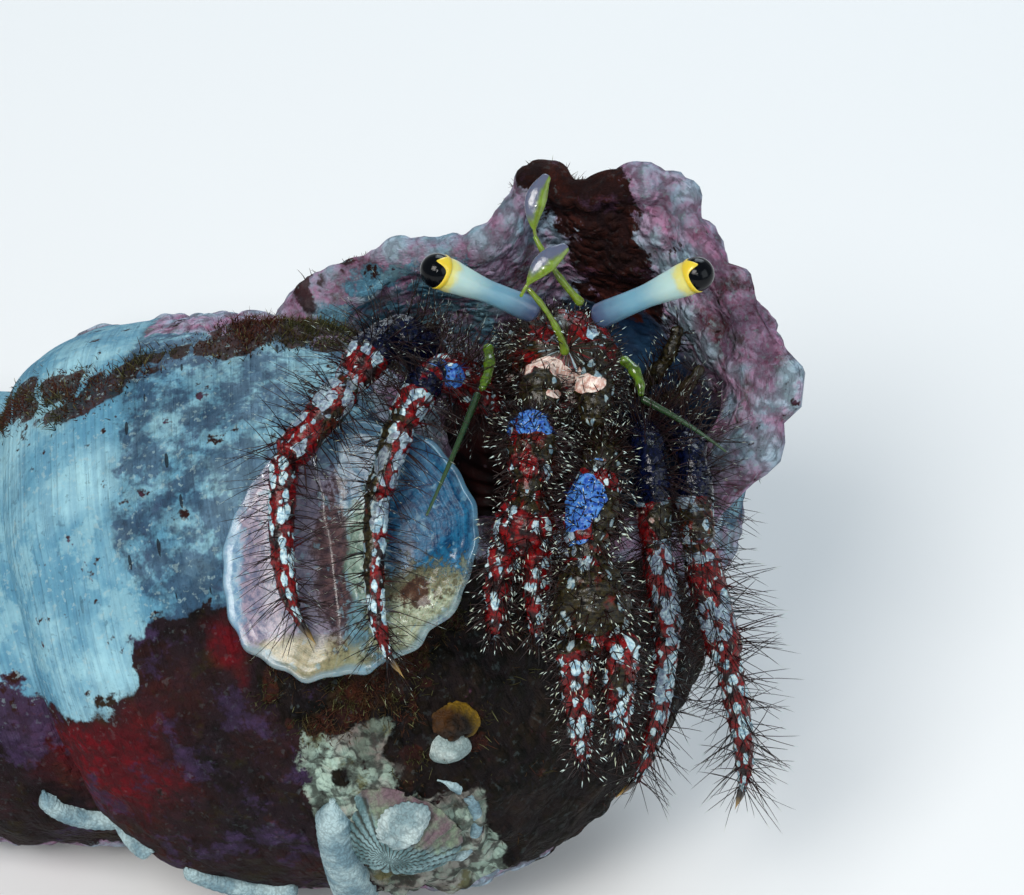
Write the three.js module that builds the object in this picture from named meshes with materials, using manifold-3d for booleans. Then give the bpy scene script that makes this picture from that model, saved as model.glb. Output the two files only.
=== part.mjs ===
// Hermit crab (a hairy red hermit, Dardanus lagopodes) looking out of the large,
// overgrown whelk-like shell that it wears. Life size, still, no joints.
// Millimetres, +Z up, +X to the crab's left, -Y to its front.
// The origin is on the floor, in the middle of the flat on which the body whorl rests.
import * as THREE from "three";
import { mergeVertices } from "three/addons/utils/BufferGeometryUtils.js";
import Module from "manifold-3d";

const wasm = await Module();
wasm.setup();

// ---- driving dimensions ----
const GAP = 0.3; // clear space left between neighbouring pieces

// Shell: a right-handed spiral laid on its side, its mouth looking up and forward.
const MOUTH = [25, 2.3, 35.9]; // point on the axis level with the middle of the mouth
const AXIS_YAW = 7.5; // degrees that the spire turns away from the front
const AXIS_DIP = 11.2; // degrees that the spire points down
const MOUTH_PITCH = 38; // degrees above level that the mouth looks
const WHORL_RADIUS = 36.5; // axis to the outside of the body whorl
const WHORL_HALF_LENGTH = 29; // half the height of the mouth, along the axis
const TURNS = 5.8; // turns from the lip to where the spire would come to a point
const PITCH = 38; // drop of the body whorl along the axis in its first turn
const FRONT_FLATTENING = 0.88; // the whorls are this much flatter front to back
const LIP_FLARE = 7; // how far the outer lip turns outward
const LIP_SPREAD = 0.05; // how much longer, as a share, the lip is at its front end
const WALL = 2.4; // shell thickness
const CALLUS = 4; // extra thickness that fills the narrow, spire end of the mouth
const PILLAR = 4; // radius of the central pillar (columella)
const SPIRE_TURNS = 3; // turns that are left of the spire, whose point is worn off
const SPIRE_END = 97; // where the worn tip ends, up the axis from the middle of the mouth
const SPOUT_END = -20; // front end of the pillar, along the axis
const CAVITY_TURNS = 0.62; // how far the open cavity winds in from the lip
const SQUARENESS = [2.05, 3.4]; // whorl section: exponent on the mouth side, spire side

// ---- helpers ----
const V = (x, y, z) => new THREE.Vector3(x, y, z);
const vec = (p) => V(p[0], p[1], p[2]);
const rad = THREE.MathUtils.degToRad;
const clamp = THREE.MathUtils.clamp;
const smooth = THREE.MathUtils.smoothstep;
const crab = new THREE.Group();

// A closed skin through rings of points (all rings with equal counts), its two ends
// closed by fans to their middles.
function skinOver(rings) {
  const sides = rings[0].length;
  const positions = rings.flat().flatMap((p) => [p.x, p.y, p.z]);
  const index = [];
  for (let i = 0; i + 1 < rings.length; i += 1) {
    for (let j = 0; j < sides; j += 1) {
      const a = i * sides + j;
      const b = i * sides + ((j + 1) % sides);
      index.push(a, b, a + sides, b, b + sides, a + sides);
    }
  }
  for (const end of [0, rings.length - 1]) {
    const middle = rings[end].reduce((sum, p) => sum.add(p), V(0, 0, 0)).divideScalar(sides);
    const hub = positions.length / 3;
    positions.push(middle.x, middle.y, middle.z);
    for (let j = 0; j < sides; j += 1) {
      const a = end * sides + j;
      const b = end * sides + ((j + 1) % sides);
      index.push(...(end === 0 ? [hub, b, a] : [hub, a, b]));
    }
  }
  const geometry = new THREE.BufferGeometry();
  geometry.setAttribute("position", new THREE.Float32BufferAttribute(positions, 3));
  geometry.setIndex(index);
  return geometry;
}

// Only positions, shared corners merged, no collapsed triangles, faces outward.
function closedSolid(geometry) {
  const bare = geometry.clone();
  bare.deleteAttribute("normal");
  bare.deleteAttribute("uv");
  const merged = mergeVertices(bare, 1e-4);
  const corners = merged.attributes.position;
  const a = V(0, 0, 0);
  const b = V(0, 0, 0);
  const c = V(0, 0, 0);
  let triangles = [];
  let volume = 0;
  for (let i = 0; i < merged.index.count; i += 3) {
    const [p, q, r] = [0, 1, 2].map((k) => merged.index.getX(i + k));
    if (p === q || q === r || r === p) continue;
    triangles.push([p, q, r]);
    a.fromBufferAttribute(corners, p);
    b.fromBufferAttribute(corners, q);
    c.fromBufferAttribute(corners, r);
    volume += a.dot(b.cross(c));
  }
  if (volume < 0) triangles = triangles.map(([p, q, r]) => [p, r, q]);
  merged.setIndex(triangles.flat());
  return merged;
}

function toManifold(geometry) {
  const solid = closedSolid(geometry);
  const vertProperties = new Float32Array(solid.attributes.position.array);
  const triVerts = new Uint32Array(solid.index.array);
  return new wasm.Manifold(new wasm.Mesh({ numProp: 3, vertProperties, triVerts }));
}

function toGeometry(solid) {
  const mesh = solid.getMesh();
  const geometry = new THREE.BufferGeometry();
  const positions = new THREE.Float32BufferAttribute(mesh.vertProperties, 3);
  geometry.setAttribute("position", positions);
  geometry.setIndex([...mesh.triVerts]);
  return geometry;
}

// The largest separate lump of a solid, so that slivers left by a cut are dropped.
function largest(solid) {
  return solid.decompose().sort((p, q) => q.volume() - p.volume())[0];
}

function addPiece(name, geometry, material) {
  const mesh = new THREE.Mesh(closedSolid(geometry), material.clone());
  mesh.name = name;
  crab.add(mesh);
  return mesh;
}

// ---- materials ----
const finish = (color, roughness) =>
  new THREE.MeshStandardMaterial({ color, roughness, metalness: 0 });
const CRUST = finish(0x8f9aa6, 0.9);
const NACRE = finish(0xcbb6c4, 0.45);
const LIMPET = finish(0xa9b8b4, 0.8);
const RED_SHELL = finish(0x6b1c1c, 0.4);
const DARK_KNEE = finish(0x141b33, 0.35);
const STALK = finish(0xb9cbd8, 0.3);
const CORNEA = finish(0x05070a, 0.08);
const GREEN = finish(0x5d7424, 0.4);
const HORN = finish(0x1a1410, 0.35);
const SOFT = finish(0xb98a72, 0.6);

// ---- the shell's own frame ----
const toSpire = V(
  -Math.cos(rad(AXIS_DIP)) * Math.cos(rad(AXIS_YAW)),
  Math.cos(rad(AXIS_DIP)) * Math.sin(rad(AXIS_YAW)),
  -Math.sin(rad(AXIS_DIP)),
);
const outOfMouth = V(0, -Math.cos(rad(MOUTH_PITCH)), Math.sin(rad(MOUTH_PITCH)));
outOfMouth.addScaledVector(toSpire, -outOfMouth.dot(toSpire)).normalize();
const toLip = V(0, 0, 0).crossVectors(toSpire, outOfMouth);

// A point from the height along the axis, the angle round it and the distance from it.
function onShell(height, angle, radius) {
  return vec(MOUTH)
    .addScaledVector(toSpire, height)
    .addScaledVector(outOfMouth, radius * Math.cos(angle) * FRONT_FLATTENING)
    .addScaledVector(toLip, radius * Math.sin(angle));
}

// One whorl's section at t turns in from the lip: all its sizes shrink evenly to the tip.
function whorl(t) {
  const size = 1 - t / TURNS;
  return {
    height: PITCH * (t - (t * t) / (2 * TURNS)),
    half: (WHORL_RADIUS / 2) * size,
    reach: WHORL_HALF_LENGTH * size,
  };
}

// How far the outer lip turns outward, most at its front two thirds, with low knobs.
function flare(t, height) {
  const along = (1 - smooth(height, -4, 5)) * (0.25 + 0.75 * smooth(height, -29, -18));
  const knobs = 1 + 0.14 * Math.cos(0.42 * height);
  return LIP_FLARE * Math.exp(-Math.max(t, 0) / 0.07) * along * knobs;
}

// How much longer the mouth is towards its front end, close to the lip.
const spread = (t) => 1 + LIP_SPREAD * Math.exp(-Math.max(t, 0) / 0.09);

// The outline of the whorl at t as a ring of points in its half plane through the axis,
// drawn in by `inset` on the outside and `callus` more at the spire end.
function section(t, sides, inset, inside, callus) {
  const { height, half, reach } = whorl(Math.max(t, 0));
  const outer = 2 * half - inset;
  const middle = (outer + inside) / 2;
  const ring = [];
  for (let j = 0; j < sides; j += 1) {
    const turn = (2 * Math.PI * j) / sides;
    const spireSide = Math.cos(turn) > 0;
    const power = 2 / SQUARENESS[spireSide && Math.sin(turn) > 0 ? 1 : 0];
    const across = Math.sign(Math.cos(turn)) * Math.abs(Math.cos(turn)) ** power;
    const rise = Math.sign(Math.sin(turn)) * Math.abs(Math.sin(turn)) ** power;
    const room = spireSide ? reach - inset - callus : reach * spread(t) - inset * 1.4;
    const h = height + across * room;
    const radius = middle + rise * (outer - middle + (rise > 0 ? flare(t, h) : 0));
    ring.push(onShell(h, Math.PI / 2 + 2 * Math.PI * t, radius));
  }
  return ring;
}

// A stretch of the spiral from one t to another as a closed solid.
function stretch(from, to, steps, sides, inset = 0, inside = 0.6, callus = 0) {
  const rings = [];
  for (let i = 0; i <= steps; i += 1) {
    rings.push(section(from + ((to - from) * i) / steps, sides, inset, inside, callus));
  }
  return toManifold(skinOver(rings));
}

// Half turns joined into one solid; the narrow inner ones need fewer flat faces.
function spiral(from, grow) {
  let joined = spireCap(grow);
  for (let t = from; t < SPIRE_TURNS; t += HALF_TURN) {
    const coarse = t > 1.4;
    const end = Math.min(t + HALF_TURN, SPIRE_TURNS) + 0.001;
    joined = joined.add(stretch(t, end, coarse ? 8 : 10, coarse ? 12 : 18, -grow));
  }
  return joined;
}

// A solid turned about the shell's axis; profile points are [radius, height].
function turnedOnAxis(profile, sides) {
  const turned = new THREE.LatheGeometry(profile.map(([r, y]) => new THREE.Vector2(r, y)), sides);
  turned.applyQuaternion(new THREE.Quaternion().setFromUnitVectors(V(0, 1, 0), toSpire));
  turned.translate(...MOUTH);
  return toManifold(turned);
}

// The spire's point is worn off and grown over into a low dome.
function spireCap(grow) {
  const { height, half } = whorl(SPIRE_TURNS - 0.7);
  const dome = [[0, height - 12]];
  for (let i = 0; i <= 5; i += 1) {
    const turn = (Math.PI / 2) * (i / 5);
    dome.push([
      (1.62 * half + grow) * Math.cos(turn),
      height - 2 + (SPIRE_END - height + 2 + grow) * Math.sin(turn),
    ]);
  }
  dome[dome.length - 1][0] = 0;
  return turnedOnAxis(dome, 20);
}

// The pillar inside, which ends as a short spout at the front of the mouth.
function pillar() {
  const profile = [
    [0, SPOUT_END],
    [3, SPOUT_END + 1.2],
    [PILLAR + 1, SPOUT_END + 5],
    [PILLAR + 2, SPOUT_END + 12],
    [PILLAR + 2, 30],
    [0, 30],
  ];
  return turnedOnAxis(profile, 16);
}

const HALF_TURN = 0.5;
const MOUTH_SHOWS = 0.88; // turns: from here on the next whorl in is the mouth's inner side
const wound = spiral(0, 0).add(pillar());
const clearOfShell = spiral(0, GAP).add(pillar());
const cavity = stretch(-0.07, CAVITY_TURNS, 14, 16, WALL, PILLAR + 0.5, CALLUS)
  .subtract(spiral(MOUTH_SHOWS, 0))
  .subtract(pillar());

// Distance from the axis to the outside at a height and angle, for seating what grows on it.
function outsideRadius(height, angle) {
  const turn = (angle - Math.PI / 2) / (2 * Math.PI);
  let radius = PILLAR;
  for (let t = turn - Math.floor(turn); t < SPIRE_TURNS; t += 1) {
    const { height: middle, half, reach } = whorl(t);
    const q = (height - middle) / reach;
    if (Math.abs(q) >= 1) continue;
    const power = SQUARENESS[q > 0 ? 1 : 0];
    radius = Math.max(radius, half + half * (1 - Math.abs(q) ** power) ** (1 / power));
  }
  return radius;
}

const FLOOR_SLAB = 20;
const floorBox = new THREE.BoxGeometry(400, 400, FLOOR_SLAB);
floorBox.translate(0, 0, -FLOOR_SLAB / 2);
const underFloor = toManifold(floorBox);

const shell = largest(wound.subtract(cavity).subtract(underFloor));
addPiece("shell", toGeometry(shell), CRUST);

// ---- what grows on the shell ----
// A low turned growth set on the shell at a height and angle; its profile goes from the
// rim underneath to the middle on top. The shell's own form is cut out of its underside.
function growth(name, height, angle, sink, profile, material) {
  const at = rad(angle);
  const seat = onShell(height, at, outsideRadius(height, at) - sink);
  const away = onShell(height, at, 100).sub(onShell(height, at, 0)).normalize();
  const turned = new THREE.LatheGeometry(
    profile.map(([r, y]) => new THREE.Vector2(r, y)),
    18,
  );
  turned.applyQuaternion(new THREE.Quaternion().setFromUnitVectors(V(0, 1, 0), away));
  turned.translate(seat.x, seat.y, seat.z);
  addPiece(name, toGeometry(largest(toManifold(turned).subtract(clearOfShell))), material);
}

const CUP = { radius: 13.4, rim: 4.2, dish: 1.4 };
growth(
  "cup_valve",
  13.4,
  7,
  1.2,
  [
    [0, -6],
    [CUP.radius * 0.8, -6],
    [CUP.radius * 0.98, CUP.rim - 1.6],
    [CUP.radius, CUP.rim - 0.5],
    [CUP.radius * 0.93, CUP.rim],
    [CUP.radius * 0.7, CUP.rim - CUP.dish * 0.8],
    [0, CUP.rim - CUP.dish],
  ],
  NACRE,
);
const RIBBED = { radius: 6.2, height: 4.6 };
growth(
  "ribbed_limpet",
  14,
  307,
  0.6,
  [
    [0, -3],
    [RIBBED.radius, -3],
    [RIBBED.radius, 0.9],
    [RIBBED.radius * 0.62, RIBBED.height * 0.66],
    [RIBBED.radius * 0.2, RIBBED.height * 0.96],
    [0, RIBBED.height],
  ],
  LIMPET,
);
growth(
  "small_cap",
  6.5,
  325,
  0.4,
  [
    [0, -2],
    [2.3, -2],
    [2.3, 0.8],
    [1.5, 1.9],
    [0, 2.3],
  ],
  LIMPET,
);

// ---- crab: shape of a limb piece ----
// A closed piece along a smooth line through its points, with radii given at even steps
// from one end to the other, and rounded ends, where its rings gather; `flat` widens it
// along the `wide` direction.
function limbPiece(name, points, radii, material, options = {}) {
  const { sides = 8, steps = 6, flat = 1, wide = V(1, 0, 0) } = options;
  const line = new THREE.CatmullRomCurve3(points.map(vec), false, "centripetal");
  const length = line.getLength();
  const rings = [];
  for (let i = 0; i <= steps; i += 1) {
    const s = clamp((1 - Math.cos((Math.PI * i) / steps)) / 2, 0.004, 0.996);
    const along = s * (radii.length - 1);
    const k = Math.min(Math.floor(along), radii.length - 2);
    const radius = THREE.MathUtils.lerp(radii[k], radii[k + 1], along - k);
    const toEnd = Math.min(s, 1 - s) * length;
    const rounded = toEnd < radius ? Math.sqrt(1 - (1 - toEnd / radius) ** 2) : 1;
    const tangent = line.getTangentAt(s);
    const side = wide.clone().addScaledVector(tangent, -wide.dot(tangent)).normalize();
    const other = V(0, 0, 0).crossVectors(tangent, side);
    const middle = line.getPointAt(s);
    const ring = [];
    for (let j = 0; j < sides; j += 1) {
      const turn = (2 * Math.PI * j) / sides;
      ring.push(
        middle
          .clone()
          .addScaledVector(side, radius * rounded * flat * Math.cos(turn))
          .addScaledVector(other, radius * rounded * Math.sin(turn)),
      );
    }
    rings.push(ring);
  }
  return addPiece(name, skinOver(rings), material);
}

// How far short of a bent joint two round-ended pieces of one radius stop, to stay apart.
function clearance(radius, before, joint, after) {
  const arriving = vec(joint).sub(vec(before));
  const leaving = vec(after).sub(vec(joint));
  return (radius + GAP / 2) / Math.cos(arriving.angleTo(leaving) / 2) - radius + 0.05;
}

// The two ends of a straight piece, each moved inward by its own cut.
function shorten(from, to, cutFrom, cutTo) {
  const a = vec(from);
  const b = vec(to);
  const way = b.clone().sub(a).normalize();
  return [
    a.addScaledVector(way, cutFrom).toArray(),
    b.addScaledVector(way, -cutTo).toArray(),
  ];
}

// ---- crab: body ----
const shieldLine = [
  [27.3, 3.2, 64.6],
  [27, 8.5, 58.2],
  [26.4, 14.5, 51],
];
limbPiece("shield", shieldLine, [4.2, 5.6, 6.2, 6.4, 5.4], RED_SHELL, {
  sides: 12,
  steps: 7,
  flat: 1.22,
});

// The soft belly winds into the shell along the middle of the cavity.
function insideCavity(t, lift = 0) {
  const { height, half } = whorl(t);
  return onShell(height, Math.PI / 2 + 2 * Math.PI * t, half + 0.8 + lift).toArray();
}
const bellyLine = (from, to, count) =>
  Array.from({ length: count }, (_, i) => insideCavity(from + ((to - from) * i) / (count - 1)));
limbPiece("belly_front", bellyLine(0.035, 0.245, 5), [6.2, 8.2, 8.8, 8.6], SOFT, {
  sides: 12,
  steps: 7,
  wide: toSpire,
  flat: 1.15,
});
limbPiece("belly_rear", bellyLine(0.254, 0.47, 5), [8.2, 7.8, 6.4, 4.6], SOFT, {
  sides: 12,
  steps: 7,
  wide: toSpire,
  flat: 1.15,
});
limbPiece("tail_fan", bellyLine(0.478, 0.545, 4), [3.6, 4, 3.4, 2.4], RED_SHELL, {
  sides: 12,
  wide: toSpire,
  flat: 1.2,
});

// ---- crab: eyes ----
const EYES = {
  right: { base: [24.4, 3.6, 68.9], tip: [14.5, 1.5, 75.4] },
  left: { base: [30.2, 3.2, 68.4], tip: [40.2, 1.3, 75.1] },
};
const CORNEA_RADIUS = 1.75;
for (const [side, { base, tip }] of Object.entries(EYES)) {
  const [from, to] = shorten(base, tip, 0, CORNEA_RADIUS + 0.1);
  limbPiece(`eyestalk_${side}`, [from, to], [1.3, 1.3, 1.32, 1.42, 1.6], STALK, {
    sides: 10,
    steps: 6,
  });
  const ball = new THREE.SphereGeometry(CORNEA_RADIUS, 12, 8);
  ball.translate(...tip);
  addPiece(`eye_${side}`, ball, CORNEA);
}
for (const [side, x] of Object.entries({ right: 25.3, left: 29.4 })) {
  const line = [
    [x, 0.2, 68.4],
    [x, -0.6, 70.2],
  ];
  limbPiece(`eye_scale_${side}`, line, [0.9, 0.8, 0.4], STALK, { sides: 8, steps: 5, flat: 1.2 });
}

// ---- crab: feelers ----
const FEELERS = {
  right: {
    antennule: [[27.2, -0.8, 67], [26.2, -0.9, 70.6], [23.6, 0.3, 74]],
    whip: [[23.5, 0.5, 74.6], [25.2, 1.7, 76.3], [27.3, 3, 77.2]],
    stem: [[19.3, 1.4, 66.2], [19.7, -1.2, 65.6], [18.8, -4, 64.9]],
    feeler: [[18.6, -4.6, 64.7], [17.2, -8.6, 63.9], [16, -12.6, 62.6], [13.6, -18, 60.2]],
  },
  left: {
    antennule: [[28.9, 2.9, 70.4], [26.2, 4.2, 73.4], [24.2, 6, 76.4]],
    whip: [[24.1, 6.4, 77.1], [24.2, 8, 79.4], [25.4, 9.7, 81.2]],
    stem: [[32.9, 0.4, 65.2], [34.6, -1.6, 64.8], [34.6, -3.6, 63.8]],
    feeler: [[34.9, -4.1, 63.7], [37.4, -5.2, 62.9], [40.2, -5.6, 61], [43.4, -6, 58.6]],
  },
};
const thin = { sides: 6, steps: 6 };
for (const [side, { antennule, whip, stem, feeler }] of Object.entries(FEELERS)) {
  limbPiece(`antennule_${side}`, antennule, [0.75, 0.5, 0.42], GREEN, thin);
  limbPiece(`antennule_whip_${side}`, whip, [0.3, 0.55, 0.5, 0.3], GREEN, thin);
  limbPiece(`antenna_stem_${side}`, stem, [1, 0.95, 0.7], GREEN, thin);
  limbPiece(`antenna_${side}`, feeler, [0.42, 0.38, 0.3], GREEN, { sides: 6, steps: 10 });
}

// ---- crab: mouth limbs ----
const MOUTH_LIMBS = {
  right: [[25, -1.6, 64.2], [24.6, -5.4, 65.6], [25, -6.7, 63.2]],
  left: [[29.8, -1.6, 64.2], [30.2, -5.6, 65.4], [29.6, -6.9, 62.8]],
};
for (const [side, line] of Object.entries(MOUTH_LIMBS)) {
  limbPiece(`mouth_limb_${side}`, line, [1.6, 2.1, 2, 1.1], RED_SHELL, { sides: 8, steps: 6 });
}

// ---- crab: claws ----
const CLAWS = {
  right: {
    arm: [[22.6, -1.6, 58.6], [23.4, -7.6, 61.8]],
    wrist: [[24, -9.4, 65.6], [23.6, -15.8, 62.6]],
    palm: [[23.5, -16.4, 62], [22.8, -20.6, 56.8]],
    fixed: [[21.3, -21.3, 56], [19.9, -23.2, 51.6], [20.6, -23.4, 48.6]],
    finger: [[23.9, -21.4, 55.8], [24.6, -23.2, 52], [24, -23.6, 48.6]],
    radii: { arm: 2.5, wrist: 2.6, palm: 3, finger: 1.35 },
  },
  left: {
    arm: [[31.2, -1.6, 57.8], [30.8, -11.6, 61]],
    wrist: [[30.4, -14, 62.8], [29, -22, 59.6]],
    palm: [[29.2, -22.6, 59], [29.8, -28, 52.2]],
    fixed: [[28.6, -29, 51], [28.2, -32, 45.4], [29.4, -32.4, 40.4]],
    finger: [[31.6, -28.8, 51.2], [32.6, -31.4, 47], [31.6, -32, 42.4]],
    radii: { arm: 2.1, wrist: 2.9, palm: 3.7, finger: 1.7 },
  },
};
for (const [side, claw] of Object.entries(CLAWS)) {
  const { arm, wrist, palm, finger } = claw.radii;
  const limb = { sides: 8, steps: 6 };
  limbPiece(`claw_arm_${side}`, claw.arm, [arm * 0.8, arm, arm], RED_SHELL, limb);
  limbPiece(`claw_wrist_${side}`, claw.wrist, [wrist * 0.8, wrist, wrist * 0.94], DARK_KNEE, limb);
  limbPiece(`claw_palm_${side}`, claw.palm, [palm * 0.8, palm, palm, palm * 0.8], RED_SHELL, limb);
  const taper = [finger, finger, finger * 0.75, finger * 0.35];
  limbPiece(`claw_finger_fixed_${side}`, claw.fixed, taper, RED_SHELL, { sides: 8, steps: 6 });
  limbPiece(`claw_finger_${side}`, claw.finger, taper, RED_SHELL, { sides: 8, steps: 6 });
}

// ---- crab: walking legs ----
// Each leg: hip, knee, wrist, ankle, two points on the curved last piece, and its claw's tip.
const LEGS = {
  leg2_right: {
    line: [
      [20.2, 3.4, 57], [14.2, -2.4, 66.4], [11, -9, 64.6], [8.8, -14.2, 59.8],
      [8.4, -21, 53.1], [9.6, -24.2, 47.9], [11.4, -25.9, 45.9],
    ],
    radii: [2.2, 2.1, 1.95, 1.55, 1.2],
  },
  leg3_right: {
    line: [
      [19, 7.6, 56], [9.4, 1.2, 68.4], [5.6, -5.4, 66.4], [-0.3, -10.7, 61.4],
      [-0.8, -17.2, 56.3], [0.4, -20.4, 50], [2.6, -21.8, 46.6],
    ],
    radii: [2.5, 2.6, 2.2, 2, 1.4],
  },
  leg2_left: {
    line: [
      [34.6, 2.2, 56], [35.6, -9.4, 61.2], [36.2, -13.4, 53.1], [37.6, -15.6, 43],
      [36.8, -17, 31.2], [35.4, -17.6, 25], [32.6, -18, 21.6],
    ],
    radii: [1.9, 1.9, 1.8, 1.7, 1.3],
  },
  leg3_left: {
    line: [
      [37.8, 6.4, 54], [39.9, -7.6, 59.4], [40.4, -12, 51.7], [43.8, -14.8, 39],
      [46, -16.6, 28], [46.2, -17, 23], [45.4, -17.4, 19.4],
    ],
    radii: [2.1, 2.1, 2.1, 2.1, 1.4],
  },
};
const CLAW_TIP = 0.16; // share of the last piece that is its horny claw
for (const [name, { line, radii }] of Object.entries(LEGS)) {
  const [hip, knee, wrist, ankle, bend, low, tip] = line;
  const limb = { sides: 8, steps: 6 };
  const atKnee = clearance(radii[1], hip, knee, wrist);
  const atWrist = clearance(radii[2], knee, wrist, ankle);
  const atAnkle = clearance(radii[3], wrist, ankle, bend);
  const piece = (part, ends, sizes, material) =>
    limbPiece(`${name}_${part}`, ends, sizes, material, limb);
  const thigh = [radii[0] * 0.8, radii[0], radii[1]];
  piece("thigh", shorten(hip, knee, 0, atKnee), thigh, RED_SHELL);
  piece("knee", shorten(knee, wrist, atKnee, atWrist), [radii[1], radii[1], radii[2]], DARK_KNEE);
  piece("shin", shorten(wrist, ankle, atWrist, atAnkle), [radii[2], radii[3], radii[3]], RED_SHELL);
  const [start] = shorten(ankle, bend, atAnkle, 0);
  const whole = new THREE.CatmullRomCurve3([start, bend, low, tip].map(vec), false, "centripetal");
  const footEnd = whole.getPointAt(1 - CLAW_TIP).toArray();
  const tipStart = whole.getPointAt(1 - CLAW_TIP + 0.02).toArray();
  const tipMiddle = whole.getPointAt(1 - CLAW_TIP / 2).toArray();
  const middle = [0.3, 0.6].map((s) => whole.getPointAt(s).toArray());
  const foot = [radii[4], radii[4], radii[4] * 0.85, radii[4] * 0.6];
  limbPiece(`${name}_foot`, [start, ...middle, footEnd], foot, RED_SHELL, limb);
  const point = [radii[4] * 0.45, radii[4] * 0.4, 0.25];
  limbPiece(`${name}_tip`, [tipStart, tipMiddle, tip], point, HORN, { sides: 6, steps: 4 });
}

// ---- crab: small legs that hold the shell ----
const HOLDERS = {
  leg4_right: [[17.6, 11.4, 52.6], [15.2, 8, 56.4], [12.6, 9, 58.6]],
  leg4_left: [[36.4, 12, 51], [39.4, 9, 54], [41.4, 10.6, 56.4]],
  leg5_right: [[19, 16.4, 49.6], [15, 16.2, 53.4], [13, 18, 56.4]],
  leg5_left: [[34.6, 17.2, 48.6], [38.2, 17, 52.2], [39.6, 18.8, 55.4]],
};
for (const [name, line] of Object.entries(HOLDERS)) {
  limbPiece(name, line, [1, 1.1, 0.9, 0.6], RED_SHELL, { sides: 6, steps: 6 });
}

export default crab;
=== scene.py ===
# %% [markdown]
# # A hermit crab looking out of its shell
# This lesson finishes a life-size museum model of a hairy red hermit crab in an overgrown sea-snail
# shell. The construction model is loaded as a fixed frame; each step builds one finished surface
# over its solids, as whole arrays of points.

import bpy
import numpy as np
from numpy import cos, pi, sin
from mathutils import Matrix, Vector


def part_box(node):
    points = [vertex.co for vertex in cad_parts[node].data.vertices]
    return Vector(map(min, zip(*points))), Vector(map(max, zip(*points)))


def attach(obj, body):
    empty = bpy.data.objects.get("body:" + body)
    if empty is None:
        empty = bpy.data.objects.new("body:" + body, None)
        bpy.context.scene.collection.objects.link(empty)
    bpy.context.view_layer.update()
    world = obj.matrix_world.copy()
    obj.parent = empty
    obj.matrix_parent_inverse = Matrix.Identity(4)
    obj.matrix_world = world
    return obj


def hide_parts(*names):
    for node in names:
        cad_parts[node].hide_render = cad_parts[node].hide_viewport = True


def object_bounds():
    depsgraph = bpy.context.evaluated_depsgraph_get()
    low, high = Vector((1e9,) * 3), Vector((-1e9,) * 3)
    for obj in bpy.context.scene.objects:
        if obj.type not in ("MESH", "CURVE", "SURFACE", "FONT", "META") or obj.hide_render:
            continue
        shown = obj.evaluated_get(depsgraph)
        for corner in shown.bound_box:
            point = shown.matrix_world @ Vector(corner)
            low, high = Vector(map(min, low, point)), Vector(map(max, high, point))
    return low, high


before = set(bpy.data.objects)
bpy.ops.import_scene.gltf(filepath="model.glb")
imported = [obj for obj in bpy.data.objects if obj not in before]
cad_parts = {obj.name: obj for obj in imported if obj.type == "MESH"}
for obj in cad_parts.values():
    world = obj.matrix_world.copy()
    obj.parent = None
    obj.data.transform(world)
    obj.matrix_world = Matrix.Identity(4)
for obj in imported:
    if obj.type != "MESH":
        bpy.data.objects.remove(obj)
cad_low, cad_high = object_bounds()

MM = 0.001
random = np.random.default_rng(7)
print("solids:", len(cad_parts), "box:", cad_low, cad_high)

# %% [markdown]
# ## Camera first
# A camera is easiest to place from what everybody looks at: the middle between the eyes. It looks
# down by 38 degrees through a long lens, so near legs are not swollen.

# %% Camera
LOOK_DOWN = np.radians(38)
CAMERA_DISTANCE = 300 * MM
FRAME_WIDTH = 102.4 * MM  # width of what the camera sees at that distance
SENSOR = 36  # the camera's own unit, millimetres
AIM_FROM_EYES = np.array([-5.45, -8.3, -15.5]) * MM


def middle_of(node):
    """The middle of a solid's box: half way between its two corners."""
    low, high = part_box(node)
    return (np.array(low) + np.array(high)) / 2


def joined(*arrays):
    """Arrays one after another."""
    return np.concatenate(arrays)


def stacked(*values):
    """Numbers side by side, as places."""
    return np.stack(values, axis=-1)


def evenly(count):
    """Even steps from 0 to 1."""
    return np.linspace(0, 1, count)


def show(name, data):
    """Puts data into the scene as an object with that name."""
    made = bpy.data.objects.new(name, data)
    bpy.context.scene.collection.objects.link(made)
    return made


eyes_middle = (middle_of("eye_right") + middle_of("eye_left")) / 2
aim = eyes_middle + AIM_FROM_EYES
forward = np.array([0, cos(LOOK_DOWN), -sin(LOOK_DOWN)])
camera_data = bpy.data.cameras.new("camera")
camera_data.sensor_width = SENSOR
camera_data.lens = SENSOR * CAMERA_DISTANCE / FRAME_WIDTH
camera_data.clip_start = 0.01
camera = show("camera", camera_data)
camera.location = aim - CAMERA_DISTANCE * forward
camera.rotation_euler = (pi / 2 - LOOK_DOWN, 0, 0)
bpy.context.scene.camera = camera
print("camera at", camera.location, "lens", round(camera_data.lens, 1))

# %% [markdown]
# ## Floor and soft light
# A pale sheet bends up behind the model, so no horizon cuts the picture. Large, near lamps make
# soft shadows; a small bright one gives the eyes their spark.

# %% Floor and lamps
FLOOR_HALF = 1.2
BEND_START = 0.5
BEND_RADIUS = 0.5


def curved_backdrop(steps=48):
    """Floor points: flat until BEND_START, then a quarter circle upwards."""
    sideways = np.linspace(-FLOOR_HALF, FLOOR_HALF, 9)
    depth = np.linspace(-FLOOR_HALF, BEND_START + BEND_RADIUS * pi / 2, steps)
    turn = np.clip((depth - BEND_START) / BEND_RADIUS, 0, pi / 2)
    y = np.where(turn > 0, BEND_START + BEND_RADIUS * sin(turn), depth)
    z = BEND_RADIUS * (1 - cos(turn))
    return np.stack(np.broadcast_arrays(sideways[:, None], y[None], z[None]), axis=-1)


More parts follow.
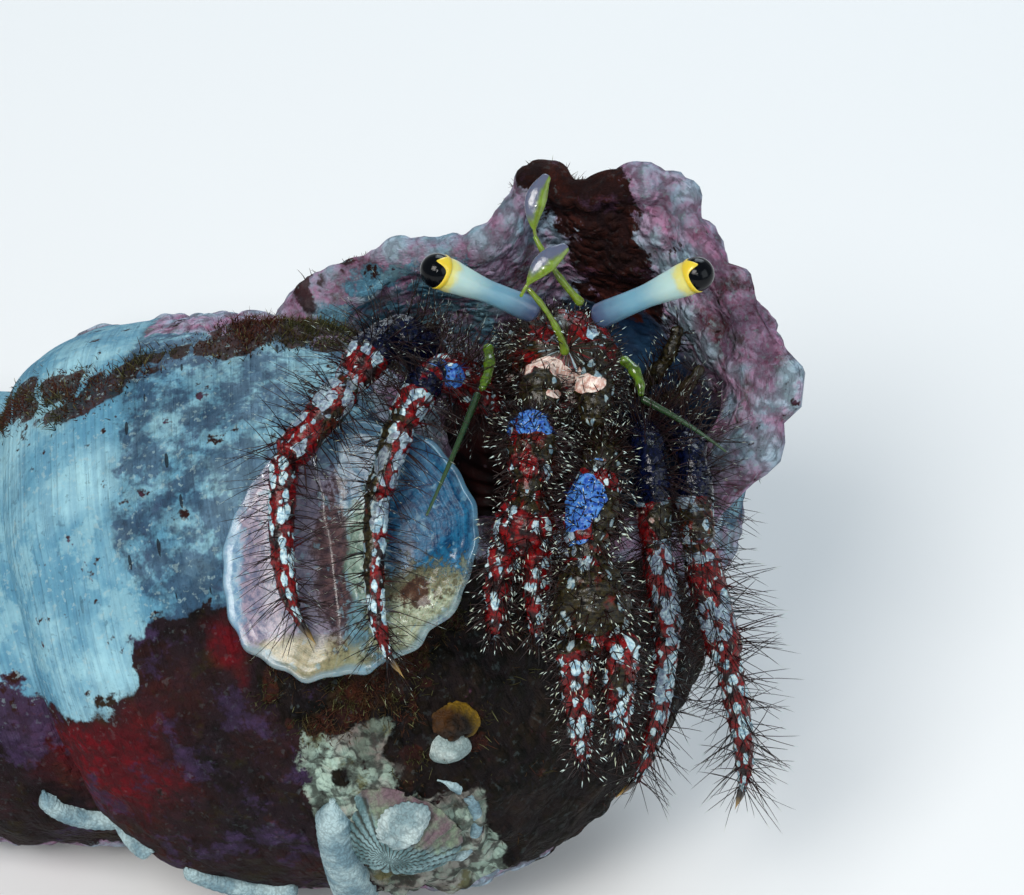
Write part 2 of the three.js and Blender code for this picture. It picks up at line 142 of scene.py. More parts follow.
def grid_quads(rows, columns, wrap=False):
    """Four corner numbers for each cell of a grid kept row after row."""
    across = columns if wrap else columns - 1
    i, j = np.meshgrid(np.arange(rows - 1), np.arange(across), indexing="ij")
    i, j = i.ravel(), j.ravel()
    beside = (j + 1) % columns
    start = i * columns
    corners = [start + j, start + beside, start + columns + beside, start + columns + j]
    return np.stack(corners, axis=1)


def mesh_of(name, points, quads, triangles=None):
    """A mesh object from points, four-cornered faces and three-cornered ones."""
    three = np.zeros((0, 3), int) if triangles is None else triangles
    corner_list = joined(quads.ravel(), three.ravel())
    sizes = joined(np.full(len(quads), 4), np.full(len(three), 3))
    mesh = bpy.data.meshes.new(name)
    mesh.vertices.add(len(points))
    mesh.vertices.foreach_set("co", np.asarray(points, np.float32).ravel())
    mesh.loops.add(len(corner_list))
    mesh.loops.foreach_set("vertex_index", corner_list.astype(np.int32))
    mesh.polygons.add(len(sizes))
    starts = joined([0], np.cumsum(sizes)[:-1])
    mesh.polygons.foreach_set("loop_start", starts.astype(np.int32))
    mesh.polygons.foreach_set("use_smooth", np.ones(len(sizes), bool))
    mesh.update(calc_edges=True)
    mesh.validate()
    return show(name, mesh)


backdrop_points = curved_backdrop()
floor = mesh_of("studio_floor", backdrop_points.reshape(-1, 3), grid_quads(*backdrop_points.shape[:2]))


def add_lamp(name, place, target, size, power, colour):
    """A square lamp at a place, turned to its target."""
    lamp = bpy.data.lights.new(name, "AREA")
    lamp.size = size
    lamp.energy = power
    lamp.color = colour
    lamp_object = show(name, lamp)
    lamp_object.location = place
    away = Vector(target) - Vector(place)
    lamp_object.rotation_euler = away.to_track_quat("-Z", "Y").to_euler()


model_middle = (cad_low + cad_high) / 2
add_lamp("key_lamp", (-0.25, -0.45, 0.65), model_middle, 0.35, 5.2, (1, 0.97, 0.93))
add_lamp("fill_lamp", (0.55, -0.35, 0.35), model_middle, 0.5, 1.4, (0.85, 0.94, 1))
add_lamp("back_lamp", (0.15, 0.55, 0.5), model_middle, 0.4, 2.4, (0.8, 0.92, 1))
add_lamp("spark_lamp", (0.03, -0.5, 0.42), model_middle, 0.03, 0.6, (1, 1, 1))
world = bpy.data.worlds.new("soft_room")
world.use_nodes = True
sky = world.node_tree.nodes["Background"].inputs
sky["Color"].default_value = (0.75, 0.86, 0.95, 1)
sky["Strength"].default_value = 0.3
bpy.context.scene.world = world
bpy.context.scene.view_settings.view_transform = "Standard"
print("lamps:", len(bpy.data.lights))

# %% [markdown]
# ## Helpers for shapes
# Every surface here is a grid of points: a section carried along a line, or a profile turned about
# an axis. The helpers make smooth random hills, because nothing in the sea is plain, find normals,
# and close a grid with the values that its material reads.

# %% Random hills
LATTICE = random.random(8192)


def luck_of(cell, extra=0):
    """A lattice cell's own random number, from its three numbers."""
    key = cell[..., 0] * 73856093 ^ cell[..., 1] * 19349663 ^ cell[..., 2] * 83492791
    return LATTICE[(key + extra) & 8191]


def hills(points, size, seed=0):
    """Smooth random heights from -1 to 1: random numbers on a cube lattice, blended between the
    eight nearest corners."""
    place = np.asarray(points, float) / size + seed * 17.3
    whole = np.floor(place).astype(np.int64)
    part = place - whole
    part = part * part * (3 - 2 * part)
    total = np.zeros(place.shape[:-1])
    for corner in np.ndindex(2, 2, 2):
        cell = whole + corner
        total += luck_of(cell) * np.where(corner, part, 1 - part).prod(axis=-1)
    return total * 2 - 1


def rough_hills(points, size, seed=0, layers=3):
    """Hills on hills, each layer half as large and half as high."""
    total = sum(hills(points, size / 2**k, seed + k) / 2**k for k in range(layers))
    return total / sum(0.5**k for k in range(layers))


def ease(value, low, high):
    """Smooth step from 0 below low to 1 above high."""
    share = np.clip((value - low) / (high - low), 0, 1)
    return share * share * (3 - 2 * share)


def bump_at(value, middle, width):
    """A bell curve of height 1 over middle."""
    return np.exp(-(((value - middle) / width) ** 2))


def unit(vectors):
    """The same directions with length 1."""
    length = np.linalg.norm(vectors, axis=-1, keepdims=True)
    return vectors / np.maximum(length, 1e-12)


def grid_normals(points):
    """A grid's step along crossed with its step round, at length 1."""
    along = np.gradient(points, axis=0)
    around = np.roll(points, -1, axis=1) - np.roll(points, 1, axis=1)
    return unit(np.cross(around, along))


def round_turn(columns):
    """Angles at even steps once round, shaped to go with rows."""
    return np.linspace(0, 2 * pi, columns, endpoint=False)[None, :, None]


def rings(middle, first, second, wide_first, wide_second, columns):
    """Rings about middle points: first direction times cosine and second times sine, each times its
    half width."""
    turn = round_turn(columns)
    ring = first[:, None] * cos(turn) * wide_first[:, None, None]
    return middle[:, None] + ring + second[:, None] * sin(turn) * wide_second[:, None, None]


print("hills at two places:", hills(np.array([[0, 0, 0], [0.3, 0.1, 0.7]]), 1))

# %% Grids to meshes
pieces = []


def closed_grid(points):
    """A tube of rings with a fan to a middle point at both ends."""
    rows, columns = points.shape[:2]
    ends = np.stack([points[0].mean(axis=0), points[-1].mean(axis=0)])
    flat = joined(points.reshape(-1, 3), ends)
    quads = grid_quads(rows, columns, wrap=True)
    j = np.arange(columns)
    beside = (j + 1) % columns
    last = (rows - 1) * columns
    first_fan = np.stack([np.full(columns, rows * columns), beside, j], axis=1)
    last_fan = np.stack([np.full(columns, rows * columns + 1), last + j, last + beside], axis=1)
    return flat, quads, joined(first_fan, last_fan)


def volume_of(points, quads, triangles):
    """A sixth of the sum of each triangle's corner products."""
    split = joined(quads[:, [0, 1, 2]], quads[:, [0, 2, 3]], triangles)
    a, b, c = points[split[:, 0]], points[split[:, 1]], points[split[:, 2]]
    return np.einsum("ij,ij->i", a, np.cross(b, c)).sum() / 6


def with_ends(values):
    """A grid's values as a list, plus the means of its first and last ring."""
    grid = np.asarray(values, float)
    extra = np.stack([grid[0].mean(axis=0), grid[-1].mean(axis=0)])
    return joined(grid.reshape(-1, *grid.shape[2:]), extra)


def join_grids(name, grids):
    """One piece from closed grids, each (points, {attribute: values}), turned round where a volume
    comes out negative."""
    all_points, all_quads, all_triangles, start = [], [], [], 0
    for points, _ in grids:
        flat, quads, triangles = closed_grid(points)
        if volume_of(flat - flat.mean(axis=0), quads, triangles) < 0:
            quads, triangles = quads[:, ::-1], triangles[:, ::-1]
        all_points.append(flat)
        all_quads.append(quads + start)
        all_triangles.append(triangles + start)
        start += len(flat)
    piece = mesh_of(
        name, np.concatenate(all_points) * MM, np.concatenate(all_quads), np.concatenate(all_triangles)
    )
    for attribute in grids[0][1]:
        values = joined(*[with_ends(marks[attribute]) for _, marks in grids])
        write_marks(piece, attribute, values)
    return piece


def write_marks(piece, attribute, values):
    """Keeps a number, or three, at every point, for the material to read."""
    kind = "FLOAT" if values.ndim == 1 else "FLOAT_VECTOR"
    field = "value" if values.ndim == 1 else "vector"
    layer = piece.data.attributes.new(attribute, kind, "POINT")
    layer.data.foreach_set(field, values.astype(np.float32).ravel())


def finish_piece(piece, slot, material, *nodes):
    """Gives a piece its material and its body, and hides the solids it stands for."""
    piece.data.materials.append(material)
    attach(piece, "root")
    if nodes:
        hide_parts(*nodes)
    pieces.append(piece)
    print(piece.name, len(piece.data.polygons), "faces, stands for", len(nodes), "solids")


def build(name, grids, slot, material, *nodes):
    """Joins closed grids into one piece and finishes it."""
    finish_piece(join_grids(name, grids), slot, material, *nodes)

# %% [markdown]
# ## The shell as a sweep
# A shell is one outline carried round an axis while it shrinks evenly. A Screw modifier can't
# flatten, flare or thicken it on the way; a formula can. The sheet comes out along the inside,
# rolls over the lip, and goes back round the outside to the worn tip.

# %% Sizes of the shell, in millimetres
AXIS_YAW = np.radians(7.5)
AXIS_DIP = np.radians(11.2)
MOUTH_PITCH = np.radians(38)
MOUTH_FROM_CORNER = np.array([96.5, 27.1, 35.9])  # middle of the mouth, from the box's corner
WHORL_RADIUS = 36.5
WHORL_HALF_LENGTH = 29
TURNS = 5.8
PITCH = 38
FRONT_FLATTENING = 0.88
LIP_FLARE = 7
WALL = 2.4
LIP_SWELL = 0.9  # how much thicker the wall is just inside the lip, as a share
CALLUS = 4
PILLAR = 4
SPIRE_TURNS = 3
SPIRE_END = 97
SPOUT_END = -20
CAVITY_TURNS = 0.62
FINE_STEP = 1  # distance between rows where the shell is seen closely
COARSE_STEP = 1.75  # the same on the older whorls
DEEP_STEP = 3.5  # the same deep inside

shell_corner = np.array(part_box("shell")[0]) / MM
mouth = shell_corner + MOUTH_FROM_CORNER
to_spire = np.array([-cos(AXIS_DIP) * cos(AXIS_YAW), cos(AXIS_DIP) * sin(AXIS_YAW), -sin(AXIS_DIP)])
out_of_mouth = np.array([0, -cos(MOUTH_PITCH), sin(MOUTH_PITCH)])
out_of_mouth = unit(out_of_mouth - out_of_mouth @ to_spire * to_spire)
to_lip = np.cross(to_spire, out_of_mouth)


def on_shell(height, angle, radius):
    """A point from its height along the axis, its angle round it and its distance, a little
    flattened."""
    out = radius * cos(angle) * FRONT_FLATTENING
    up = radius * sin(angle)
    height, out, up = (v[..., None] for v in np.broadcast_arrays(height, out, up))
    return mouth + height * to_spire + out * out_of_mouth + up * to_lip


def shell_place(points):
    """The reverse: height, angle in degrees and distance."""
    away = points - mouth
    out = away @ out_of_mouth / FRONT_FLATTENING
    up = away @ to_lip
    return away @ to_spire, np.degrees(np.arctan2(up, out)), np.hypot(out, up)


def whorl(turns):
    """Height, half width and reach after that many turns: all shrink evenly towards the spiral's
    end."""
    size = 1 - turns / TURNS
    height = PITCH * (turns - turns**2 / (2 * TURNS))
    return height, WHORL_RADIUS / 2 * size, WHORL_HALF_LENGTH * size


def lip_flare(turns, height):
    """How far the lip turns outward: fades quickly with the turns, highest in the front two
    thirds."""
    front = (1 - ease(height, -4, 5)) * (0.2 + 0.8 * ease(height, -27, -18))
    knobs = 1 + 0.14 * cos(0.42 * height) + 0.32 * bump_at(height, -17, 6)
    return LIP_FLARE * np.exp(-np.maximum(turns, 0) / 0.07) * front * knobs


def outline(turns, around, inset, inside, callus):
    """A squarish ring in the half plane through the axis: sine and cosine, to a power below 1,
    times its sizes."""
    height, half, reach = whorl(np.maximum(turns, 0))
    inset = inset * (1 + LIP_SWELL * np.exp(-(((turns - 0.045) / 0.05) ** 2)))
    spire_side = cos(around) > 0
    power = np.where(spire_side & (sin(around) > 0), 2 / 3.4, 2 / 2.05)
    across = np.sign(cos(around)) * np.abs(cos(around)) ** power
    rise = np.sign(sin(around)) * np.abs(sin(around)) ** power
    longer = 1 - 0.03 * np.exp(-np.maximum(turns, 0) / 0.09)
    room = np.where(spire_side, reach - inset - callus, reach * longer - 1.4 * inset)
    h = height + across * room
    outer = 2 * half - inset
    middle = (outer + inside) / 2
    flared = np.where(rise > 0, lip_flare(turns, h), 0)
    radius = middle + rise * (outer - middle + flared)
    return on_shell(h, pi / 2 + 2 * pi * turns, radius)


print("axis of the shell points to", to_spire.round(3))

# %% [markdown]
# ## Even spacing
# Raising a sine to a power bunches points at the outline's corners, which would show as bumps. So
# the angles are picked again at even lengths, fewer on the buried side.

# %% Rows and columns of the shell
SHELL_COLUMNS = 190
BURIED_SHARE = 0.3  # point density on the buried side, against the shown side


def even_angles():
    """Angles round the outline whose points lie evenly along it."""
    fine = np.linspace(0, 2 * pi, 4001)
    ring = outline(np.array(0.3), fine, 0, 0.6, 0)
    steps = np.linalg.norm(np.diff(ring, axis=0), axis=1)
    steps *= np.where(sin((fine[1:] + fine[:-1]) / 2) < 0, BURIED_SHARE, 1)
    length = joined([0], np.cumsum(steps))
    wanted = np.linspace(0, length[-1], SHELL_COLUMNS, endpoint=False)
    return np.interp(wanted, length, fine)


def even_turns(first, last, step):
    """Turns at even distances along the outside of the spiral."""
    fine = np.linspace(first, last, 2001)
    length = np.cumsum(2 * pi * whorl(fine)[1] * 2) * (last - first) / 2000
    wanted = np.arange(length[0], length[-1], step)
    return np.interp(wanted, length, fine)


around = even_angles()
near_turns, deep_turns = even_turns(0, 0.2, FINE_STEP), even_turns(0.205, CAVITY_TURNS, DEEP_STEP)
inside_turns = joined(near_turns, deep_turns)[::-1]
young_turns, old_turns = even_turns(0.004, 1.15, FINE_STEP), even_turns(1.157, SPIRE_TURNS, COARSE_STEP)
outside_turns = joined(young_turns, old_turns)
roll = np.linspace(0, pi, 10)[1:-1]  # half a circle over the edge of the lip
rim_turns = -0.006 * sin(roll)
turns = joined(inside_turns, rim_turns, outside_turns)
out_share = np.concatenate(
    [np.zeros(len(inside_turns)), (1 - cos(roll)) / 2, np.ones(len(outside_turns))]
)[:, None]
smooth_shell = outline(
    turns[:, None],
    around[None],
    WALL * (1 - out_share),
    PILLAR + 0.5 - (PILLAR - 0.1) * out_share,
    CALLUS * (1 - out_share),
)
print("shell grid", smooth_shell.shape)

# %% [markdown]
# ## Lumps and regions
# A crust of pink chalky weed swells into lumps, most of all on the lip. Hills and knobs moved along
# the normals do that the same way every time and never tear, as sculpting might. The same heights
# and angles mark the regions of the finish.

# %% Knobs


def knobs(points, size, seed=0):
    """Round swellings: each lattice cube holds a half ball, off its middle; the highest ball
    counts."""
    place = points / size + seed * 7.7
    whole = np.floor(place).astype(np.int64)
    height = np.zeros(points.shape[:-1])
    for step in np.ndindex(3, 3, 3):
        cell = whole + step - 1
        luck = [luck_of(cell, 977 * k) for k in range(4)]
        centre = cell + 0.1 + 0.8 * np.stack(luck[:3], axis=-1)
        radius = 0.3 + 0.5 * luck[3]
        far = ((place - centre) ** 2).sum(axis=-1) / radius**2
        height = np.maximum(height, radius * np.sqrt(np.clip(1 - far, 0, 1)))
    return height


def band(value, low, high, soft):
    """1 between low and high, falling smoothly to 0 outside."""
    return ease(value, low - soft, low) * (1 - ease(value, high, high + soft))


print("a knob's height:", knobs(np.ones((1, 3)), 4).round(2))

# %% Regions of the shell


def shell_regions(points, inside_share, turns_in):
    """Share of each covering and of painted shade, from height, angle and hills."""
    height, angle, _ = shell_place(points)
    wander = rough_hills(points, 14, seed=3)
    ragged = rough_hills(points, 4.5, seed=9)
    tiny = hills(points, 1.7, 16)
    h = height + 4.5 * wander + 2.2 * ragged + 1.1 * tiny
    back = np.where(angle < -95, angle + 360, angle)
    a = back + 10 * rough_hills(points, 12, seed=6) + 7 * ragged + 2.5 * tiny
    dome_foot = -14 - 0.76 * (height - 39.6)
    dome = ease(h, 36.5, 39) * ease(a - dome_foot, -8, 5) * (1 - ease(a, 88, 100))
    lilac = band(h, 16, 60, 3) * band(a, -3, 62, 6) * (1 - dome)
    far_grey = band(back, 128, 172, 12) * ease(ragged + wander, -0.25, 0.35)
    weed = band(h, 21.5, 70, 4) * band(a, -82, -9, 9) * (1 - dome)
    scarlet = weed * (bump_at(h, 43, 8) * bump_at(a, -31, 15) + 0.7 * bump_at(h, 27, 3) * bump_at(a, -12, 6))
    low_edge = 11 - 7.5 * ease(-back, 40, 47)
    chalk = band(h, low_edge, 20, 2) * band(a, -78, -18, 4)
    # Painted shade: hole darkens a hole in the chalk; below darkens the strip under the front edge.
    shaded_hole = bump_at(h, 16, 1.8) * bump_at(a, -37, 4)
    below = band(h, -14, low_edge, 2.5) * band(a, -92, 2, 7)
    fuzz = band(h, 6, 21, 3) * band(a, -18, 0, 4)
    callus = band(height, 7, 17, 3) * band(back, 128, 196, 9) * (1 - ease(turns_in, 0.28, 0.36))
    # The under mask is painted shade under the shell's front edge and beneath the claws, with fuzz.
    under_shade = np.clip(below + band(a, 205, 262, 16) * 0.7 + shaded_hole + 0.9 * fuzz, 0, 1)
    crest = 0.18 * band(height, 3, 27, 4) * band(back, 76, 140, 8)
    ridge_angle = 45.4 + 0.8 * np.maximum(46 - height, 0) + 1.05 * np.maximum(height - 46, 0)
    ridge = band(height, 14, 66, 5) * bump_at(angle, ridge_angle + 2, 10 + 4 * wander)
    crown = bump_at(h, -6, 10) * bump_at(back, 96, 9) + bump_at(h, 21, 6) * bump_at(back, 84, 14)
    crown = crown + bump_at(h, -19, 6) * bump_at(back, 142, 12)
    tufted = ease(ridge + crown * 1.1 + under_shade * 0.4 + fuzz * 0.5 + chalk * 0.2 + 0.75 * ragged, 0.5, 0.95)
    pink = np.clip(1 - dome - lilac - far_grey - weed - chalk - under_shade - callus, 0, 1)
    # Painted shade deep inside the mouth: dim is high past the pink rim, lower only high up near the mouth.
    deeper = 0.06 * ease(-height, 10, 19)
    rim = 1 - ease(turns_in + 0.022 * ragged, 0.06 + deeper, 0.1 + deeper)
    dim = (1 - rim) * (1 - 0.85 * ease(height, 2, 7) * (1 - ease(turns_in, 0.2, 0.34)))
    light = inside_share * (1 - dim) * ease(height + 3 * ragged, 0, 6)
    outer = 1 - inside_share
    brown = band(h, -12, -4.5, 3.5) * band(a, 82, 124, 9)
    violet = 0.45 * bump_at(h, 1.5, 3) * bump_at(a, 93, 10)
    lavender = 0.62 * bump_at(h, 51, 6) * bump_at(a, -28, 8)
    return {
        "pale": np.clip((dome + lilac * 0.45 + far_grey * 0.4 + crest) * outer + 0.5 * light, 0, 1),
        "grey": np.clip((lilac + far_grey + callus) * outer + 0.55 * light, 0, 1),
        "pink": np.clip(pink + inside_share, 0, 1),
        "weed": weed * outer,
        "scarlet": scarlet * outer,
        "chalk": chalk * outer,
        "under_shade": under_shade * outer,
        "turf": tufted * outer * ease(np.abs(hills(points, 3.1, 14)), 0.02, 0.2),
        # inner carries the painted shade deep in the mouth.
        "inner": inside_share * dim,
        "brown": brown * np.clip(inside_share + bump_at(turns_in, 0, 0.01), 0, 1),
        "violet": np.clip(violet + lavender, 0, 1),
    }


inside_share = np.broadcast_to(1 - out_share, smooth_shell.shape[:2])
turn_grid = np.broadcast_to(turns[:, None], smooth_shell.shape[:2])
regions = shell_regions(smooth_shell, inside_share, turn_grid)
print({name: round(float(values.mean()), 2) for name, values in regions.items()})

# %% Lumps on the shell


def shell_lumps(points, marks, turns_in, inside_share):
    """How far each point moves along its normal: swellings, knobs of three sizes, crags in the
    chalk; and how high it lies on a knob."""
    height, angle, _ = shell_place(points)
    crusty = np.clip(marks["pink"] + 0.6 * marks["under_shade"] + 0.35 * marks["grey"] + 0.5 * marks["weed"], 0, 1)
    crusty = crusty * (1 - 0.85 * marks["pale"]) * (1 - marks["inner"])
    near_lip = np.exp(-np.maximum(turns_in, 0) / 0.07)
    front = 0.35 + 0.65 * ease(-height, 6, 16)
    swell = 0.9 * hills(points, 12, 1) + 0.5 * hills(points, 6.5, 2)
    large = knobs(points, 8, 5)
    middle = knobs(points, 4.2, 6)
    small = knobs(points, 2.3, 8)
    knobbly = large * (0.4 + 2.6 * near_lip * front) + 1.1 * middle + 0.75 * small - 0.5
    crags = 1.6 * np.abs(hills(points, 3.4, 6)) + 0.9 * np.abs(hills(points, 1.7, 7)) + 0.7 * small
    growth = 0.16 * sin(turns_in * 2 * pi * 9 + 2 * hills(points, 15, 4))
    outside = 0.5 * swell * (1 - 0.5 * marks["pale"]) + growth
    outside = outside + crusty * knobbly + marks["chalk"] * (crags - 0.6)
    within = 0.15 * swell + crusty * knobbly * 0.9
    lift = outside * (1 - inside_share) + within * inside_share
    return lift, np.clip(0.5 * middle + 0.5 * small + 0.5 * large - 0.1, 0, 1)


lumps, knob_height = shell_lumps(smooth_shell, regions, turn_grid, inside_share)
regions["knob"] = knob_height
normals = grid_normals(smooth_shell)
shell_points = smooth_shell + normals * lumps[..., None]
shell_points[..., 2] = np.maximum(shell_points[..., 2], 0)
spiral_place = np.stack(
    [
        turn_grid * 2 * pi * WHORL_RADIUS,
        np.broadcast_to(np.arange(SHELL_COLUMNS) * 0.68, turn_grid.shape),
        inside_share * 50,
    ],
    axis=-1,
)
print("lumps reach", lumps.min().round(2), "to", lumps.max().round(2), "mm")

# %% The worn tip and the pillar


def turned(profile_height, profile_radius, sides=96):
    """A profile of heights and radii turned about the shell's axis."""
    turn = round_turn(sides)
    high = np.asarray(profile_height)[:, None, None]
    wide = np.asarray(profile_radius)[:, None, None]
    return mouth + high * to_spire + wide * (cos(turn) * out_of_mouth + sin(turn) * to_lip)


cap_height, cap_half, _ = whorl(SPIRE_TURNS - 0.7)
cap_turn = np.linspace(0, pi / 2, 44)[:-1]
cap = turned(
    joined([cap_height - 12], cap_height - 2 + (SPIRE_END - cap_height + 2) * sin(cap_turn)),
    joined([1.62 * cap_half - 1], 1.62 * cap_half * cos(cap_turn)),
)
spout_share = evenly(60)
pillar = turned(
    SPOUT_END + 50 * spout_share, (PILLAR + 2) * np.sqrt(np.clip(spout_share * 4.2, 0.003, 1)), 40
)


def shell_extra(points):
    """The same lumps and marks for a grid outside the sweep."""
    none = np.zeros(points.shape[:2])
    marks = shell_regions(points, none, none + 1)
    lift, knob = shell_lumps(points, marks, none + 1, none)
    moved = points + grid_normals(points) * lift[..., None]
    moved[..., 2] = np.maximum(moved[..., 2], 0)
    height, angle, radius = shell_place(points)
    marks["spiral"] = stacked(np.radians(angle) * radius, height, none)
    marks["knob"] = knob
    return moved, marks


regions["spiral"] = spiral_place
shell_piece = join_grids("shell_crusted", [(shell_points, regions), shell_extra(cap), shell_extra(pillar)])
print("shell:", len(shell_piece.data.polygons), "faces")

# %% [markdown]
# ## Helpers for materials
# A material is a small circuit of nodes. Each wire that leaves a node is wrapped here: plus, minus
# and times add one Math node each, so a finish reads as a formula, and colours are laid over each
# other in a list.

# %% Wires
bench = None  # the circuit that is being built


def paint(red, green, blue):
    """A 0 to 255 colour chip as the linear light that a shader works with."""
    chip = np.array([red, green, blue]) / 255
    linear = np.where(chip <= 0.04045, chip / 12.92, ((chip + 0.055) / 1.055) ** 2.4)
    return (*linear.tolist(), 1)


class Wire:
    """What flows out of a node. Plus, minus and times add a Math node."""

    def __init__(self, socket):
        self.socket = socket

    __add__ = __radd__ = lambda self, other: sums("ADD", self, other)
    __sub__ = lambda self, other: sums("SUBTRACT", self, other)
    __rsub__ = lambda self, other: sums("SUBTRACT", other, self)
    __mul__ = __rmul__ = lambda self, other: sums("MULTIPLY", self, other)


def feed(socket, value):
    """Links a wire to a socket, or sets it; a chip becomes light first."""
    if isinstance(value, Wire):
        bench.links.new(value.socket, socket)
    else:
        socket.default_value = paint(*value) if socket.type == "RGBA" else value


def put(kind, values=None, **settings):
    """Adds a node with its settings and feeds its sockets."""
    node = bench.nodes.new("ShaderNode" + kind)
    for name, setting in settings.items():
        setattr(node, name, setting)
    for name, value in (values or {}).items():
        feed(node.inputs[name], value)
    return node


def sums(operation, *values):
    """One sum on one to three values."""
    return Wire(put("Math", dict(enumerate(values)), operation=operation).outputs[0])


def highest(first, *others):
    """The largest of several values."""
    for other in others:
        first = sums("MAXIMUM", first, other)
    return first


def between(value, low, high, to_low=0, to_high=1):
    """A smooth step of a value, from to_low at low to to_high at high."""
    ends = {"Value": value, "From Min": low, "From Max": high, "To Min": to_low, "To Max": to_high}
    return Wire(put("MapRange", ends, interpolation_type="SMOOTHSTEP").outputs["Result"])


def mix(share, first, second):
    """The second colour over the first, by a share."""
    return Wire(put("Mix", {0: share, 6: first, 7: second}, data_type="RGBA").outputs[2])


def layers(colour, *covers):
    """Colours laid over a ground one after another, by their shares."""
    for share, cover in covers:
        colour = mix(share, colour, cover)
    return colour


print("chip 128 in linear light:", round(paint(128, 128, 128)[0], 3))

# %% Places and patterns


def object_place():
    """The point's own place on the object, in metres."""
    return Wire(put("TexCoord").outputs["Object"])


def mark(name, output="Fac"):
    """What the mesh keeps at its points: a number, or with "Vector" a place."""
    return Wire(put("Attribute", attribute_name=name).outputs[output])


def split(place):
    """The three numbers of a place or a colour."""
    return [Wire(socket) for socket in put("SeparateXYZ", {"Vector": place}).outputs]


def scaled(place, scale, shift=(0, 0, 0)):
    """A place times a scale, plus a shift."""
    return Wire(put("Mapping", {"Vector": place, "Scale": scale, "Location": shift}).outputs[0])


def noise(place, scale, detail=2, roughness=0.5):
    """Soft clouds from 0 to 1."""
    values = {"Vector": place, "Scale": scale, "Detail": detail, "Roughness": roughness}
    return Wire(put("TexNoise", values).outputs["Fac"])


def pushed(place, clouds, amount):
    """A place moved by the clouds' colour, times an amount."""
    colour = Wire(clouds.socket.node.outputs["Color"])
    return Wire(put("VectorMath", {0: colour, 1: amount, 2: place}, operation="MULTIPLY_ADD").outputs[0])


def cells(place, scale, randomness=1):
    """Distance to the nearest of scattered points, and its colour."""
    node = put("TexVoronoi", {"Vector": place, "Scale": scale, "Randomness": randomness})
    return Wire(node.outputs["Distance"]), Wire(node.outputs["Color"])


print("patterns:", [helper.__name__ for helper in (noise, cells, pushed)])

# %% Groups and finishes


def new_group(name, inputs, outputs):
    """An empty group with its wires in and its sockets out. An input without a value is a place."""
    global bench
    bench = bpy.data.node_groups.new(name, "ShaderNodeTree")
    for socket, value in inputs.items():
        kind = "NodeSocketVector" if value is None else "NodeSocketFloat"
        made = bench.interface.new_socket(socket, in_out="INPUT", socket_type=kind)
        if value is not None:
            made.default_value = value
    for socket in outputs:
        kind = "NodeSocketColor" if socket == "Colour" else "NodeSocketFloat"
        bench.interface.new_socket(socket, in_out="OUTPUT", socket_type=kind)
    start = bench.nodes.new("NodeGroupInput")
    given = {socket: Wire(start.outputs[socket]) for socket in inputs}
    return bench, given, bench.nodes.new("NodeGroupOutput").inputs


def use_group(group, values):
    """Places a group with its own values; gives its outputs by name."""
    node = put("Group", values, node_tree=group)
    return {socket.name: Wire(socket) for socket in node.outputs}


def new_material(name, **even):
    """Starts a finish and sets the shader's even sockets."""
    global bench
    material = bpy.data.materials.new(name)
    material.use_nodes = True
    bench = material.node_tree
    for socket, value in even.items():
        bench.nodes["Principled BSDF"].inputs[socket.replace("_", " ")].default_value = value
    return material


def wire_up(colour, relief=None, depth=0, roughness=None):
    """Joins colour, roughness and relief to the shader; a relief of 1 stands for that depth in
    metres."""
    shader = bench.nodes["Principled BSDF"].inputs
    feed(shader["Base Color"], colour)
    if roughness is not None:
        feed(shader["Roughness"], roughness)
    if relief is not None:
        bump = put("Bump", {"Height": relief, "Distance": depth})
        feed(shader["Normal"], Wire(bump.outputs["Normal"]))


print("materials so far:", len(bpy.data.materials))

# %% [markdown]
# ## Shared effects
# Chalky crust grows in rounded pebbles with grain on them. Specks are the dots that settle on
# anything under water. Both are groups, because several finishes use them.

# %% Pebbled crust and specks
crust_group, given, results = new_group(
    "pebbled_crust", {"Place": None, "Pebbles per metre": 900}, ("Height", "Tone")
)
pebbles = given["Pebbles per metre"]
crust_wobble = noise(given["Place"], 700, 1)
crust_far, _ = cells(pushed(given["Place"], crust_wobble, (0.0009, 0.0009, 0.0009)), pebbles)
crust_grain = noise(given["Place"], pebbles * 2.6, 3, 0.65)
feed(results["Height"], between(crust_far, 0.05, 0.75, 1, 0) * 0.6 + crust_grain * 0.4)
feed(results["Tone"], between(crust_grain, 0.34, 0.68))

speck_group, given, results = new_group(
    "specks", {"Place": None, "Specks per metre": 1200, "Size": 0.22, "Share": 0.4}, ("Mask",)
)
speck_far, speck_luck = cells(given["Place"], given["Specks per metre"])
chance, size, _ = split(speck_luck)
speck_dot = sums("LESS_THAN", speck_far, given["Size"] * size)
feed(results["Mask"], speck_dot * sums("LESS_THAN", chance, given["Share"]))


def specks(place, per_metre, size, share):
    """The mask of specks at a place."""
    values = {"Place": place, "Specks per metre": per_metre, "Size": size, "Share": share}
    return use_group(speck_group, values)["Mask"]


print("groups:", [group.name for group in bpy.data.node_groups])

# %% [markdown]
# ## Finish of the shell
# Real shell crust is layered: bare lime under pink weed, under dark red weed. Painted shade goes
# over it: near-black with a little mud below the front edge, blue-grey deep in the mouth. The
# material lays one colour over the last by each region's mask. Fine cords run along the spiral, so
# they use the sweep's own coordinates.

